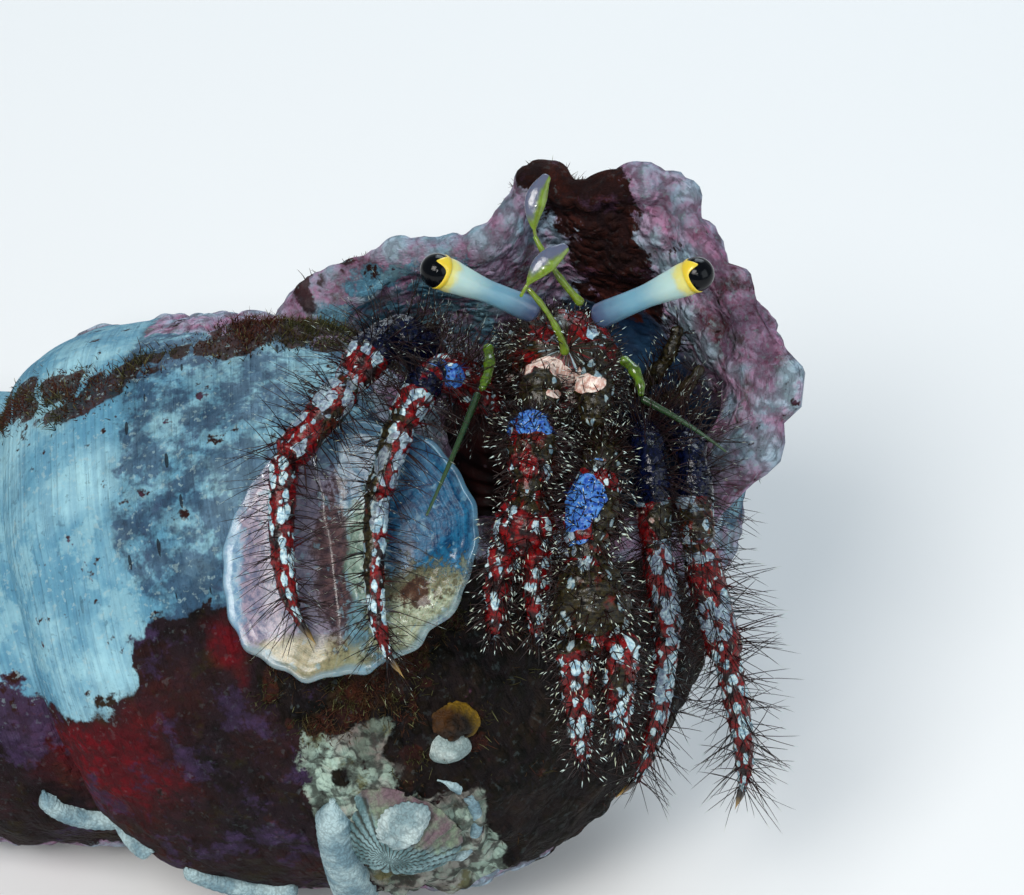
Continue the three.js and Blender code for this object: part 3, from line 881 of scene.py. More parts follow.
# %% Textures of the shell
shell_finish = new_material("shell_finish", Specular_IOR_Level=0.12)
place = object_place()
crust = use_group(crust_group, {"Place": place, "Pebbles per metre": 700})
cloud = noise(place, 95, 5, 0.62)
cloud_tone = between(cloud, 0.36, 0.66)
blotch = noise(place, 260, 4, 0.7)
blotch_tone = between(blotch, 0.42, 0.6)
patchy = noise(place, 170, 5, 0.68)
patch_high = between(patchy, 0.53, 0.62)
patch_low = between(patchy, 0.36, 0.46, 1, 0)
flecks = noise(place, 1300, 2, 0.6)
spiral = mark("spiral", "Vector")
cord_tone = between(noise(scaled(spiral, (0.035, 1, 1)), 1.3), 0.38, 0.66)
dashes = specks(scaled(spiral, (0.3, 1, 1)), 0.62, 0.26, 0.34)
knob = mark("knob")
# inner: the smooth inside of the mouth, coloured with painted shade deep in.
inner = mark("inner")


def by_region(name, spread=1.5):
    """A region's mask, its border broken up by the blotches."""
    return between((blotch - 0.5) * spread + mark(name), 0.38, 0.62)


def tinted(low, high, tint, strength, by=blotch_tone):
    """A colour that drifts between two, with a tint in the blotches."""
    return mix(by * strength, mix(cloud_tone, low, high), tint)


print("textures of the shell:", len(bench.nodes), "nodes")

# %% Colours of the shell
bare_lime = tinted((70, 106, 126), (122, 158, 170), (50, 70, 92), 0.5)
dome_lime = layers(
    tinted((88, 140, 164), (148, 192, 204), (64, 108, 140), 0.3, cord_tone),
    (patch_high * 0.3, (166, 206, 210)),
    (patch_low * 0.25, (76, 112, 132)),
)
lilac_grey = layers(
    tinted((50, 80, 104), (96, 126, 148), (44, 60, 86), 0.28, cord_tone),
    (patch_high * 0.3, (108, 140, 156)),
    (patch_low * 0.35, (58, 58, 82)),
)
pink_crust = layers(
    tinted((142, 100, 132), (186, 150, 178), (140, 62, 96), 0.45),
    (patch_low * 0.6, (70, 72, 44)),
    (between(cloud, 0.4, 0.5, 0.85, 0) * blotch_tone, (84, 34, 34)),
    # Painted highlights: pale cyan on the knob tops, in cloudy patches and on the crust's grain.
    (between(knob, 0.2, 0.75, 0, 0.8), (162, 190, 204)),
    (between(cloud, 0.5, 0.62, 0, 0.65), (124, 178, 196)),
    (crust["Tone"] * 0.25, (150, 190, 204)),
    (patch_high * 0.5, (176, 122, 156)),
)
red_weed = layers(
    tinted((12, 8, 8), (46, 20, 18), (44, 30, 40), 0.4),
    (patch_low * 0.7, (38, 32, 12)),
    (between(mark("scarlet"), 0.1, 0.7), (88, 8, 18)),
    (patch_high * 0.75, (58, 44, 74)),
)
chalky = layers(
    tinted((92, 102, 92), (166, 190, 176), (156, 124, 126), 0.35),
    (patch_low * 0.8, (84, 78, 34)),
    # Painted shade in the chalky crust's pits.
    (between(crust["Height"], 0.18, 0.34, 0.6, 0), (26, 22, 14)),
)
# Painted shade: near-black under the shell's front edge, with a little mud colour in patches.
painted_shade_and_mud = mix(patch_high * 0.18, tinted((4, 4, 3), (17, 15, 9), (34, 22, 9), 0.35), (70, 54, 46))
turf_ground = tinted((22, 18, 10), (56, 36, 20), (66, 24, 16), 0.6)
# Painted shade: dark blue-grey deep in the mouth, over the inside's own grey.
shaded_inner_grey = tinted((20, 38, 62), (48, 82, 114), (40, 44, 66), 0.5)
brown_film = mix(patch_high * 0.6, tinted((64, 28, 22), (36, 17, 15), (24, 12, 10), 0.6), (88, 60, 84))
violet_film = tinted((70, 54, 84), (92, 88, 120), (54, 36, 56), 0.5)

print("colours of the shell:", len(bench.nodes), "nodes")

# %% Layers of the shell
lower_cover = highest(mark("chalk"), mark("weed"), mark("under_shade"))
dark_cover = highest(lower_cover, inner, mark("brown"))
rough_parts = 1 - highest(mark("pale"), inner)
# Painted shade: dark in the crust's pits and in the valleys between knobs.
pits = between(crust["Height"], 0.2, 0.42, 0.5, 0) * rough_parts
valley_shade = between(knob, 0, 0.25, 0.42, 0) * rough_parts
dash_share = between(mark("grey"), 0, 0.3, 0.3, 0.85) * (1 - inner)
shell_colour = layers(
    bare_lime,
    (between(lower_cover, 0.06, 0.3), red_weed),
    (by_region("pink"), pink_crust),
    (by_region("grey", 2.2), lilac_grey),
    (by_region("pale", 1.7), dome_lime),
    (by_region("chalk", 3), chalky),
    (by_region("weed", 3.2), red_weed),
    (by_region("under_shade", 2), painted_shade_and_mud),
    (inner, shaded_inner_grey),
    (by_region("violet", 2.5) * 0.7, violet_film),
    (by_region("brown", 3.2), brown_film),
    (by_region("turf", 1.4) * 0.9, turf_ground),
    (dashes * dash_share, (22, 24, 28)),
    (between(flecks, 0.3, 0.38, 0.3, 0), (30, 30, 40)),
    (between(flecks, 0.6, 0.68) * (0.5 - 0.45 * dark_cover), (150, 176, 180)),
    (highest(pits, valley_shade), (24, 16, 20)),
)
shell_relief = crust["Height"] * (1 - 0.7 * mark("pale")) + blotch * 0.5 - cord_tone * 0.12
wire_up(shell_colour, shell_relief * (1 - 0.7 * inner), 0.0008, 0.76 - 0.3 * inner)
finish_piece(shell_piece, "shell_crust", shell_finish, "shell")

# %% [markdown]
# ## Middle lines of the crab's pieces
# Each limb piece of the construction model is a plain rounded solid, and its finished surface has
# to lie exactly there. So planes are laid across the solid, and each one's cut gives a middle point
# and two half widths.

# %% Measure a solid
SLICES = 11


def corners_of(node):
    """A solid's points as rows of three, in millimetres."""
    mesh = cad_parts[node].data
    corners = np.zeros(len(mesh.vertices) * 3)
    mesh.vertices.foreach_get("co", corners)
    return mesh, corners.reshape(-1, 3) / MM


def cut_middles(node, toward_tip):
    """Slices across a solid's longest direction: the length-weighted middles of where its triangles
    cross each plane."""
    mesh, corners = corners_of(node)
    index = np.zeros(len(mesh.loops), np.int32)
    mesh.loops.foreach_get("vertex_index", index)
    triangles = corners[index.reshape(-1, 3)]
    middle = corners.mean(axis=0)
    axis = np.linalg.svd(corners - middle, full_matrices=False)[2][0]
    axis = axis * np.sign(axis @ (toward_tip - middle) + 1e-9)
    along = (corners - middle) @ axis
    ends = along.min(), along.max()
    shares = (np.arange(SLICES) + 0.5) / SLICES
    level = ends[0] + shares * (ends[1] - ends[0])
    height = ((triangles - middle) @ axis)[None] - level[:, None, None]
    nxt = np.roll(height, -1, axis=2)
    crossing = (height > 0) != (nxt > 0)
    share = np.where(crossing, height / np.where(crossing, height - nxt, 1), 0)
    spots = triangles[None] + share[..., None] * (np.roll(triangles, -1, axis=1) - triangles)[None]
    both = (spots * crossing[..., None]).sum(axis=2)
    first = np.where(crossing[..., :1], spots[:, :, 0], spots[:, :, 1])
    second = both - first
    weight = np.linalg.norm(second - first, axis=-1) * crossing.any(axis=2)
    middles = ((first + second) / 2 * weight[..., None]).sum(axis=1)
    middles = middles / weight.sum(axis=1)[:, None]
    return middles, shares, first, second, weight


def measure(node, toward_tip, facing, bend=3):
    """A solid's middle line as a polynomial of the share of its length, and its half widths."""
    middles, shares, first, second, weight = cut_middles(node, np.asarray(toward_tip, float))
    line = np.polyfit(shares, middles, bend)
    tangent = unit(np.gradient(middles, axis=0))
    out = unit(facing - (tangent @ facing)[:, None] * tangent)
    side = np.cross(tangent, out)
    crossed = weight > 1e-9
    reach = {}
    for name, direction in (("deep", out), ("beside", side)):
        spread = np.abs(np.einsum("sti,si->st", first - middles[:, None], direction))
        reach[name] = np.where(crossed, spread, 0).max(axis=1)
    core = slice(2, SLICES - 2)
    return {
        "line": line,
        "facing": np.asarray(facing, float),
        "deep": np.polyfit(shares[core], reach["deep"][core], 2),
        "beside": np.polyfit(shares[core], reach["beside"][core], 2),
        "node": node,
    }


def follow(solid, shares):
    """Middle points, tangents, outward and sideways directions and half widths at shares of the
    length."""
    powers = np.stack([np.polyval(solid["line"][:, k], shares) for k in range(3)], axis=1)
    tangent = unit(np.gradient(powers, shares, axis=0))
    out = unit(solid["facing"] - (tangent @ solid["facing"])[:, None] * tangent)
    inner = np.clip(shares, 0.1, 0.9)
    deep = np.polyval(solid["deep"], inner)
    beside = np.polyval(solid["beside"], inner)
    return powers, tangent, out, np.cross(tangent, out), deep, beside


def length_of(solid):
    """Length of a solid's middle line."""
    line = follow(solid, evenly(60))[0]
    return np.linalg.norm(np.diff(line, axis=0), axis=1).sum()


def place_of(solid, share):
    """One point of a solid's middle line."""
    return follow(solid, np.array([share - 0.01, share, share + 0.01]))[0][1]


LOOK = np.array([0, -0.72, 0.69])  # the crab's outward side: forward and up
sample = measure("leg3_right_foot", [0, 0, 0], LOOK)
print("foot of the crab's right third leg:", round(length_of(sample), 1), "mm long")

# %% [markdown]
# ## Markings
# Dark red armour with long, pale spots, navy knees, blue patches with black dots, and cream patches
# by the mouth: the species' own pattern. The spots come from a cell texture on the straightened
# limb, so they have no seam; large patches are kept at the points. Skin and bristles use the same
# group.

# %% Crab colours
# The Dirt mark is real grime and dark joints, and painted shade on claws, head and holders.
MARKS = ("Spots", "Navy", "Blue", "Patch", "Cream", "Dirt")
colour_group, given, results = new_group(
    "crab_colours", {"Place": None, **dict.fromkeys(MARKS, 0)}, ("Colour", "Pale", "Relief")
)
limb_place = given["Place"]
shaken = pushed(limb_place, noise(limb_place, 1.6, 3), (0.55, 0.55, 0.55))
stretched = scaled(shaken, (1, 1, 0.56))
spot_far, spot_luck = cells(stretched, 0.94, 0.8)
fine_far, _ = cells(shaken, 1.9)
patch_noise = noise(stretched, 0.9, 3)
patch_share = between((patch_noise - 0.5) * 1.3 + given["Patch"], 0.25, 0.75, 0, 0.36)
spot_size = split(spot_luck)[0] * 0.24 + given["Spots"] * 0.5 + patch_share
pale = between(spot_size - spot_far, 0.02, 0.09)
mottle = between(noise(limb_place, 2.4, 3, 0.6), 0.35, 0.65)


def edged(name, low, high):
    """A mark with a border that wanders with the noise."""
    return between((patch_noise - 0.5) * 1.2 + given[name], low, high)


red = mix(between(patch_noise, 0.46, 0.62), mix(mottle, (58, 4, 8), (126, 10, 14)), (20, 7, 8))
patch_white = mix(mottle, (92, 118, 136), (178, 204, 210))
patch_white = mix(between(fine_far, 0.3, 0.5, 0, 0.4), patch_white, (96, 84, 118))
white = mix(between(patch_share, 0.12, 0.34), mix(mottle, (120, 158, 178), (206, 228, 230)), patch_white)
blue_dots = between(fine_far, 0.24, 0.3, 0.96, 0)
blue = mix(blue_dots, mix(mottle, (28, 68, 156), (84, 140, 204)), (6, 8, 18))
# Grime and painted shade: near-black where the Dirt mark is high.
dirt_and_shade_share = edged("Dirt", 0.35, 0.6)
crab_colour = layers(
    red,
    (dirt_and_shade_share, mix(mottle, (8, 6, 5), (48, 41, 18))),
    (pale - 0.45 * dirt_and_shade_share * pale, white),
    (edged("Navy", 0.4, 0.5), mix(mottle, (1, 2, 6), (7, 14, 44))),
    (edged("Blue", 0.4, 0.55), blue),
    (edged("Cream", 0.42, 0.5), mix(mottle, (184, 136, 122), (234, 220, 210))),
)
feed(results["Colour"], crab_colour)
feed(results["Pale"], pale)
scallops, _ = cells(scaled(limb_place, (1, 1, 2.2)), 1.1)
grain = noise(limb_place, 3.2, 2, 0.6)
feed(results["Relief"], 1 - 0.45 * scallops + 0.35 * grain + 0.22 * pale)


def place_crab_colours():
    """The colour group, fed with the marks at the mesh's points."""
    values = {name: mark(name.lower()) for name in MARKS}
    return use_group(colour_group, {"Place": mark("limb_place", "Vector"), **values})


armour = new_material(
    "armour_finish",
    Coat_Weight=0.07,
    Coat_Roughness=0.2,
    Specular_IOR_Level=0.26,
    Subsurface_Weight=0.06,
    Subsurface_Scale=0.0006,
)
crab = place_crab_colours()
silt = specks(object_place(), 2600, 0.4, 0.2)
wet = 0.3 + 0.12 * crab["Pale"] - 0.18 * mark("navy") + 0.2 * silt
wire_up(mix(silt * 0.45, crab["Colour"], (74, 72, 50)), crab["Relief"], 0.00017, wet)
print("finishes:", [material.name for material in bpy.data.materials])

# %% [markdown]
# ## One armour plate
# A crab's leg is a chain of hard tubes, each with a narrow root, a raised rim round the next joint,
# and pimples that carry the bristles. A plate is a section carried along the solid's middle line,
# just inside the solid.

# %% Plate shape
SKIN_DEPTH = 0.94  # skin inside the solid, as a share of the solid's half width
PLATE_RESERVE = 0.5, 0.7  # how far a plate's two ends reach on to its neighbours, mm


def pimples(place, height):
    """Low points in staggered rows: a wave along the limb times a wave round it, cut off below."""
    turn = np.arctan2(place[..., 1], place[..., 0])
    row = place[..., 2] / 1.15
    stagger = pi * np.floor(row + 0.5)
    wave = (0.5 + 0.5 * cos(2 * pi * row)) * (0.5 + 0.5 * cos(7 * turn + stagger))
    return height * np.maximum(wave - 0.35, 0) ** 1.5 * 1.9


def plate(
    solid, station, offset, rows=70, columns=52, width=None, rough=0.75, reserve=PLATE_RESERVE, spread=0
):
    """A plate's grid and what its finish needs: middle points plus half widths times cosine and
    sine. The spread widens its end."""
    length = length_of(solid)
    even = evenly(rows)
    eased = (even + (1 - cos(pi * even)) / 2) / 2
    shares = (eased * (length + sum(reserve)) - reserve[0]) / length
    middle, tangent, out, side, deep, beside = follow(solid, shares)
    to_end = np.minimum(shares - shares[0], shares[-1] - shares) * length + 0.02
    round_off = np.clip(to_end / (0.6 * np.minimum(deep, beside)), 0, 1)
    profile = np.sqrt(1 - (1 - round_off) ** 2) * SKIN_DEPTH
    profile *= plate_width(shares) if width is None else width(shares)
    beside = beside * (1 + spread * ease(shares, 0.35, 0.9))
    points = rings(middle, out, side, deep * profile, beside * profile, columns)
    middle_width = float((deep + beside).mean() / 2)
    flat_turn = np.broadcast_to(round_turn(columns)[..., 0], points.shape[:2])
    along = np.broadcast_to((shares * length)[:, None], points.shape[:2])
    place = np.stack(
        [middle_width * cos(flat_turn), middle_width * sin(flat_turn), along + offset], axis=-1
    )
    lift = pimples(place, 0.2 * rough) + 0.09 * rough * hills(place, 0.9, 3)
    lift = lift + 0.05 * rough * hills(place * [1, 1, 2.4], 1.2, 5)
    end_fade = ease(to_end, 0.1, 0.8)[:, None]
    points = points + grid_normals(points) * (lift * end_fade)[..., None]
    return {
        "points": points,
        "limb_place": place,
        "station": station + np.broadcast_to(shares[:, None], points.shape[:2]),
        "facing": cos(flat_turn),
        "turn": flat_turn / (2 * pi),
        "tangent": np.broadcast_to(tangent[:, None], points.shape),
    }


def plate_width(shares):
    """Narrow root, slight waist, raised end rim."""
    root = 0.92 + 0.08 * ease(shares, 0, 0.24)
    waist = -0.05 * bump_at(shares, 0.55, 0.2)
    rim = 0.07 * bump_at(shares, 0.92, 0.05)
    return root + waist + rim


def membrane(before, after, station, offset):
    """A joint's soft skin: a short tube on a curve through the two plates' end points."""
    bend = (place_of(before, 1) + place_of(after, 0)) / 2
    knots = np.stack([place_of(before, 0.86), bend, place_of(after, 0.14)])
    solid = {"line": np.polyfit(np.array([0, 0.5, 1]), knots, 2), "facing": before["facing"]}
    for way in ("deep", "beside"):
        thinner = min(np.polyval(before[way], 0.9), np.polyval(after[way], 0.1))
        solid[way] = np.array([0, 0, 0.84 * thinner])
    return plate(solid, station, offset, 22, 28, np.ones_like, rough=0.3, reserve=(0, 0))


def add_marks(part, bands, spots=0.5, dirt=0):
    """Adds the marking shares. A band is (mark, first station, last station, least facing,
    strength) and, if given, a turn of its middle, in radians."""
    place = part["limb_place"]
    shift = 0.07 * hills(place, 2.2, 11) + 0.03 * hills(place, 0.8, 12)
    for name in MARKS:
        part[name.lower()] = np.zeros(part["station"].shape)
    part["spots"] = spots * (0.75 + 0.55 * ease(part["station"], 2.6, 3.2))
    # An even level of grime and painted shade over the whole part.
    part["dirt"] = np.full(part["station"].shape, float(dirt))
    for name, first, last, least, strength, *aside in bands:
        share = band(part["station"] + shift, first, last, 0.04)
        facing = cos(2 * pi * part["turn"] - (aside[0] if aside else 0))
        from_middle = (part["station"] - (first + last) / 2) / ((last - first) / 2)
        share = share * ease(facing + 3 * shift - 0.35 * from_middle**2, least - 0.12, least + 0.12)
        part[name] = np.maximum(part[name], share * strength)
    covered = np.clip(part["navy"] + part["blue"] + part["cream"], 0, 1)
    part["spots"] = part["spots"] * (1 - covered)
    return part


def as_grids(parts):
    """Plates as grids, with only the values that the finish reads."""
    kept = ["limb_place"] + [name.lower() for name in MARKS]
    return [(part["points"], {name: part[name] for name in kept}) for part in parts]


print("pimple rows stand", 0.2 * 1.9, "mm high at most")

# %% [markdown]
# ## Walking legs
# Each leg hangs over the front of the shell: thigh and knee up to the bend, then shin and a long
# curved foot. One loop builds all four and lays on each leg's own markings.

# %% Legs
LEG_PARTS = ("thigh", "knee", "shin", "foot")
LEG_BANDS = {
    "leg3_right": [
        ("patch", 0.42, 0.6, -0.9, 1), ("navy", 0.6, 1.42, -1.2, 1),
        ("patch", 1.4, 1.62, -0.2, 0.8, 0.9), ("patch", 1.98, 2.34, 0, 0.95),
        ("patch", 2.5, 2.96, 0.1, 0.6, 0.6), ("dirt", 2.1, 2.7, 0.3, 0.6, -1.4),
    ],
    "leg2_right": [
        ("blue", 0.8, 1.06, 0.72, 0.7), ("navy", 1.15, 1.45, -0.9, 0.6),
        ("patch", 1.5, 1.95, -0.2, 0.55), ("dirt", 2, 3.6, 0.2, 0.75, 1.3),
        ("patch", 2.2, 2.9, 0.3, 0.85, -0.5), ("patch", 3.05, 3.3, 0.4, 0.5, -0.5),
    ],
    "leg2_left": [
        ("navy", -0.5, 1.45, -1.2, 1), ("patch", 1.45, 1.55, -0.2, 0.8, 0.6),
        ("dirt", 1.5, 1.95, 0.3, 0.8, -0.9), ("cream", 1.62, 1.86, 0.5, 0.4, 0.8),
        ("patch", 1.98, 2.98, 0.35, 0.95, -0.6), ("patch", 3.05, 3.6, 0.3, 0.5, -0.6),
    ],
    "leg3_left": [
        ("navy", -0.5, 1.4, -1.2, 1), ("patch", 1.42, 1.6, -0.2, 0.8), ("dirt", 1.55, 1.95, -1.2, 0.6),
        ("patch", 1.94, 2.12, -0.2, 1, 0.4), ("patch", 2.42, 2.78, 0.1, 0.7),
        ("patch", 3.5, 3.62, -0.2, 0.4),
    ],
}
LEG_SPOTS = {"leg3_right": 0.56, "leg2_right": 0.5, "leg2_left": 0.42, "leg3_left": 0.5}
shield_middle = middle_of("shield") / MM
coat_fields = []


def chain(nodes, start):
    """Measures solids, each turned so that it runs on from the last."""
    solids, last = [], np.asarray(start, float)
    for node in nodes:
        tip_guess = 2 * middle_of(node) / MM - last
        solids.append(measure(node, tip_guess, LOOK, bend=3 if node.endswith("foot") else 1))
        last = place_of(solids[-1], 1)
    return solids


def build_limb(owner, field, solids, stations, offset, bands, marks, shapes, joints):
    """One piece: a plate over each solid, straightened one after another for the texture, and a
    skin at each joint."""
    parts = []
    for number, (solid, station, shape) in enumerate(zip(solids, stations, shapes, strict=True)):
        parts.append(add_marks(plate(solid, station, offset, **shape), bands, *marks))
        coat_fields.append((owner, parts[-1], field))
        if 0 < number < joints:
            joint = membrane(solids[number - 1], solid, station - 0.5, offset - 3)
            parts.append(add_marks(joint, [*bands, ("dirt", -9, 9, -2, 0.6)], 0))
        offset += length_of(solid) + 1
    nodes = [solid["node"] for solid in solids]
    build(f"{owner}_armour", as_grids(parts), "red_armour", armour, *nodes)


def foot_width(shares):
    """A foot: even taper, then a quick one to the horny claw."""
    return 1.05 - 0.12 * shares - 0.5 * ease(shares, 0.8, 1.05)


LEG_SHAPES = [{"rows": 72}, {"rows": 72}, {"rows": 72}, {"rows": 96, "width": foot_width}]
leg_solids = {}
for number, (leg, bands) in enumerate(LEG_BANDS.items()):
    leg_solids[leg] = chain([f"{leg}_{part}" for part in LEG_PARTS], shield_middle)
    spots = (LEG_SPOTS[leg],)
    build_limb(leg, number, leg_solids[leg], range(4), 60 * number, bands, spots, LEG_SHAPES, 4)

# %% [markdown]
# ## Claws
# The claws are built like the legs, but stouter, and end in two fingers that meet and have dark
# horny ends. The palms are inflated, so their width follows a fuller curve.

# %% Claws


def palm_width(shares):
    """Quickly full, fullest before the middle, broad at the fingers."""
    return 0.84 + 0.2 * sin(pi * np.clip(shares, 0, 1) ** 0.8) + 0.08 * ease(shares, 0.6, 0.95)


def finger_width(shares):
    """Thick root, even taper, hooked thin tip."""
    return 1.1 - 0.25 * shares - 0.35 * ease(shares, 0.75, 1.05)


CLAW_PARTS = ("arm", "wrist", "palm", "finger_fixed", "finger")
# The claws' dirt bands paint shade on their shadowed parts, with some grime.
CLAW_BANDS = {
    "claw_right": [
        ("dirt", -0.5, 0.9, -1.2, 1), ("blue", 0.82, 1.38, 0.3, 0.9), ("dirt", 1.3, 1.75, -1.2, 0.5),
        ("patch", 1.8, 1.98, -0.2, 0.4), ("dirt", 2, 2.3, -0.4, 0.5), ("patch", 2.3, 2.95, 0.1, 0.4),
        ("navy", 3.92, 4.5, -1.2, 0.95), ("navy", 5.92, 6.5, -1.2, 0.95),
    ],
    "claw_left": [
        ("dirt", -0.5, 1.12, -1.2, 1), ("blue", 1.26, 1.94, 0.55, 0.9, 0.55),
        ("dirt", 1.4, 2.1, 0.3, 0.7, -1.2), ("patch", 1.96, 2.16, 0.2, 0.5, 0.8),
        ("dirt", 2.1, 2.86, -1.2, 0.72), ("patch", 2.5, 2.95, -0.2, 0.3), ("dirt", 3, 3.3, -1.2, 0.42),
        ("dirt", 5, 5.3, -1.2, 0.42), ("navy", 3.92, 4.5, -1.2, 0.95), ("navy", 5.92, 6.5, -1.2, 0.95),
    ],
}
CLAW_STATIONS = (0, 1, 2, 3, 5)
CLAW_SHAPES = [
    {"rows": 92, "columns": 68, "rough": 1.2, "width": width, "reserve": reserve, "spread": spread}
    for width, reserve, spread in (
        (None, (0.3, 0.4), 0),
        (plate_width, (0.5, 0.8), 0),
        (palm_width, (0.8, 1.2), 0.32),
        (finger_width, (2.8, 0.2), 0),
        (finger_width, (2.8, 0.2), 0),
    )
]
for number, (claw, bands) in enumerate(CLAW_BANDS.items()):
    names = [f"claw_{part}_{claw.removeprefix('claw_')}" for part in CLAW_PARTS]
    solids = chain(names[:4], shield_middle)
    solids += chain(names[4:], place_of(solids[2], 0.9))
    offset = 300 + 60 * number
    build_limb(claw, 4 + number, solids, CLAW_STATIONS, offset, bands, (0.5, 0.12), CLAW_SHAPES, 3)


# %% [markdown]
# ## Horny claws of the feet
# Each foot ends in a small curved claw of dark, polished horn: a plain tapering tube, black with a
# brown point.

# %% Foot claws
horn_finish = new_material("horn_finish", Roughness=0.22, Coat_Weight=0.4)
wire_up(mix(between(mark("along"), 0.1, 0.9), (22, 14, 12), (150, 120, 60)))


def spike(solid, rows=26, columns=20):
    """A tube whose width falls to a point with a power of the share."""
    shares = np.linspace(-0.06, 1, rows)
    middle, _, out, side, deep, beside = follow(solid, shares)
    width = np.clip(0.85 - 0.82 * np.clip(shares, 0, 1) ** 1.4, 0.03, 2)
    points = rings(middle, out, side, deep * width, beside * width, columns)
    return points, {"along": np.broadcast_to(shares[:, None], (rows, columns))}


tips = [f"{leg}_tip" for leg in LEG_BANDS]
tip_grids = [
    spike(chain([tip], place_of(leg_solids[leg][-1], 0.9))[0])
    for leg, tip in zip(LEG_BANDS, tips, strict=True)
]
build("foot_claws", tip_grids, "horn", horn_finish, *tips)

# %% [markdown]
# ## Eyes
# A slim pale stalk carries a black ball of tiny facets. Yellow skin holds it like a socket and
# sends one curved finger over it, so the stalk's grid does not stop at the ball: its last rings run
# on just above the sphere.

# %% Eyestalks and corneas
SOCKET_REACH = np.radians(84)  # how far the socket covers the ball, from its back
FINGER_REACH = np.radians(42)  # how much further the yellow finger runs
FINGER_WIDTH = 0.3  # in radians round the stalk
FINGER_TURN = 0.35  # how far the finger sits towards the front, from straight up
UP = np.array([0, 0.35, 0.94])


def ball_of(node):
    """Middle and radius of a round solid, from its box."""
    low, high = (np.array(corner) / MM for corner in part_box(node))
    return (low + high) / 2, (high - low).mean() / 2


def eye_axes(centre, base, columns):
    """The way from a base to the ball, and directions round it: up times cosine and front times
    sine."""
    axis = unit(centre - base)
    up = unit(UP - UP @ axis * axis)
    front = np.cross(axis, up)
    turn = round_turn(columns)
    return axis, cos(turn) * up + sin(turn) * front * np.sign(front @ LOOK), turn


def eyestalk(side, columns=72):
    """Rings up the stalk, then over the ball's back at angles that grow to the socket's edge, and
    further at the finger."""
    centre, radius = ball_of(f"eye_{side}")
    base = place_of(chain([f"eyestalk_{side}"], eyes_middle / MM)[0], 0.01)
    axis, radial, turn = eye_axes(centre, base, columns)
    reach = np.linalg.norm(centre - base)
    start_angle = np.radians(68)
    stalk_end = reach - (radius + 0.05) * cos(start_angle)
    shares = evenly(64)[:, None, None]
    width = 1.24 + 0.08 * bump_at(shares, 0.12, 0.12) - 0.06 * bump_at(shares, 0.5, 0.2)
    width = width - 0.5 * (1 - ease(shares, -0.02, 0.05))
    socket = (radius + 0.05) * sin(start_angle)
    width = width * (1 - ease(shares, 0.5, 1)) + ease(shares, 0.5, 1) * socket
    width = width + 0.05 * bump_at(shares, 0.92, 0.06)
    stalk = base + axis * shares * stalk_end + radial * width
    over = evenly(16)[1:, None, None]
    away = np.angle(np.exp(1j * (turn - FINGER_TURN - 0.5 * over)))
    edge = SOCKET_REACH + FINGER_REACH * np.exp(-((away / FINGER_WIDTH) ** 2))
    tilt = start_angle + (edge - start_angle) * over
    lift = radius + 0.07 * (1 - over**6) + 0.02
    cup = centre + lift * (-axis * cos(tilt) + radial * sin(tilt))
    points = joined(stalk, cup)
    along = joined(shares[..., 0] + 0 * turn[..., 0], 1 + over[..., 0] + 0 * turn[..., 0])
    return points, {"along": along}


def eyeball(side, columns=64):
    """A full ball with its poles in line with the stalk."""
    centre, radius = ball_of(f"eye_{side}")
    axis, radial, turn = eye_axes(centre, eyes_middle / MM, columns)
    tilt = np.linspace(0, pi, 44)[:, None, None]
    points = centre + radius * (-axis * cos(tilt) + radial * sin(tilt))
    return points, {"along": tilt[..., 0] / pi + 0 * turn[..., 0]}


stalk_finish = new_material(
    "eyestalk_finish", Roughness=0.32, Coat_Weight=0.3, Subsurface_Weight=0.15, Subsurface_Scale=0.0008
)
bloom = noise(object_place(), 900, 4)
wobble = mark("along") + 0.16 * bloom - 0.08
stalk_colour = layers(
    (60, 72, 104),
    (between(wobble, 0.02, 0.45), (106, 154, 174)),
    (between(wobble, 0.45, 0.86), (178, 208, 202)),
    (between(wobble, 0.86, 0.97), (214, 206, 110)),
    (between(wobble, 0.97, 1.05), (226, 196, 26)),
    (bloom * 0.16, (90, 110, 140)),
)
wire_up(stalk_colour, bloom, 0.00006)

cornea_finish = new_material(
    "cornea_finish", Roughness=0.1, Coat_Weight=0.12, Coat_Roughness=0.04, Specular_IOR_Level=0.12
)
facets, _ = cells(object_place(), 9500, 0.35)
wire_up(mix(facets, (6, 8, 14), (0, 1, 3)), facets, 0.000006)

for side in ("right", "left"):
    stalk, eye = f"eyestalk_{side}", f"eye_{side}"
    build(f"{stalk}_skin", [eyestalk(side)], "eyestalk", stalk_finish, stalk)
    build(f"{eye}_cornea", [eyeball(side)], "cornea", cornea_finish, eye)

# %% [markdown]
# ## Head, mouth and small legs
# Between the eyes lies the front of the shield with two small white scales, and below it the folded
# mouth limbs. The small last legs, which hold the shell from inside, are plates as well.

# %% Head and mouth


def folded_width(shares):
    """Three bulging links with narrow joints between them."""
    return 0.88 + 0.2 * np.abs(sin(pi * (3 * np.clip(shares, 0, 1) + 0.12)))


def scale_width(shares):
    """A small flat scale that ends in a point."""
    return 1.15 - 0.85 * ease(shares, 0.3, 1)


SCALE_BANDS = [("patch", -0.2, 1.2, -1.2, 0.55)]
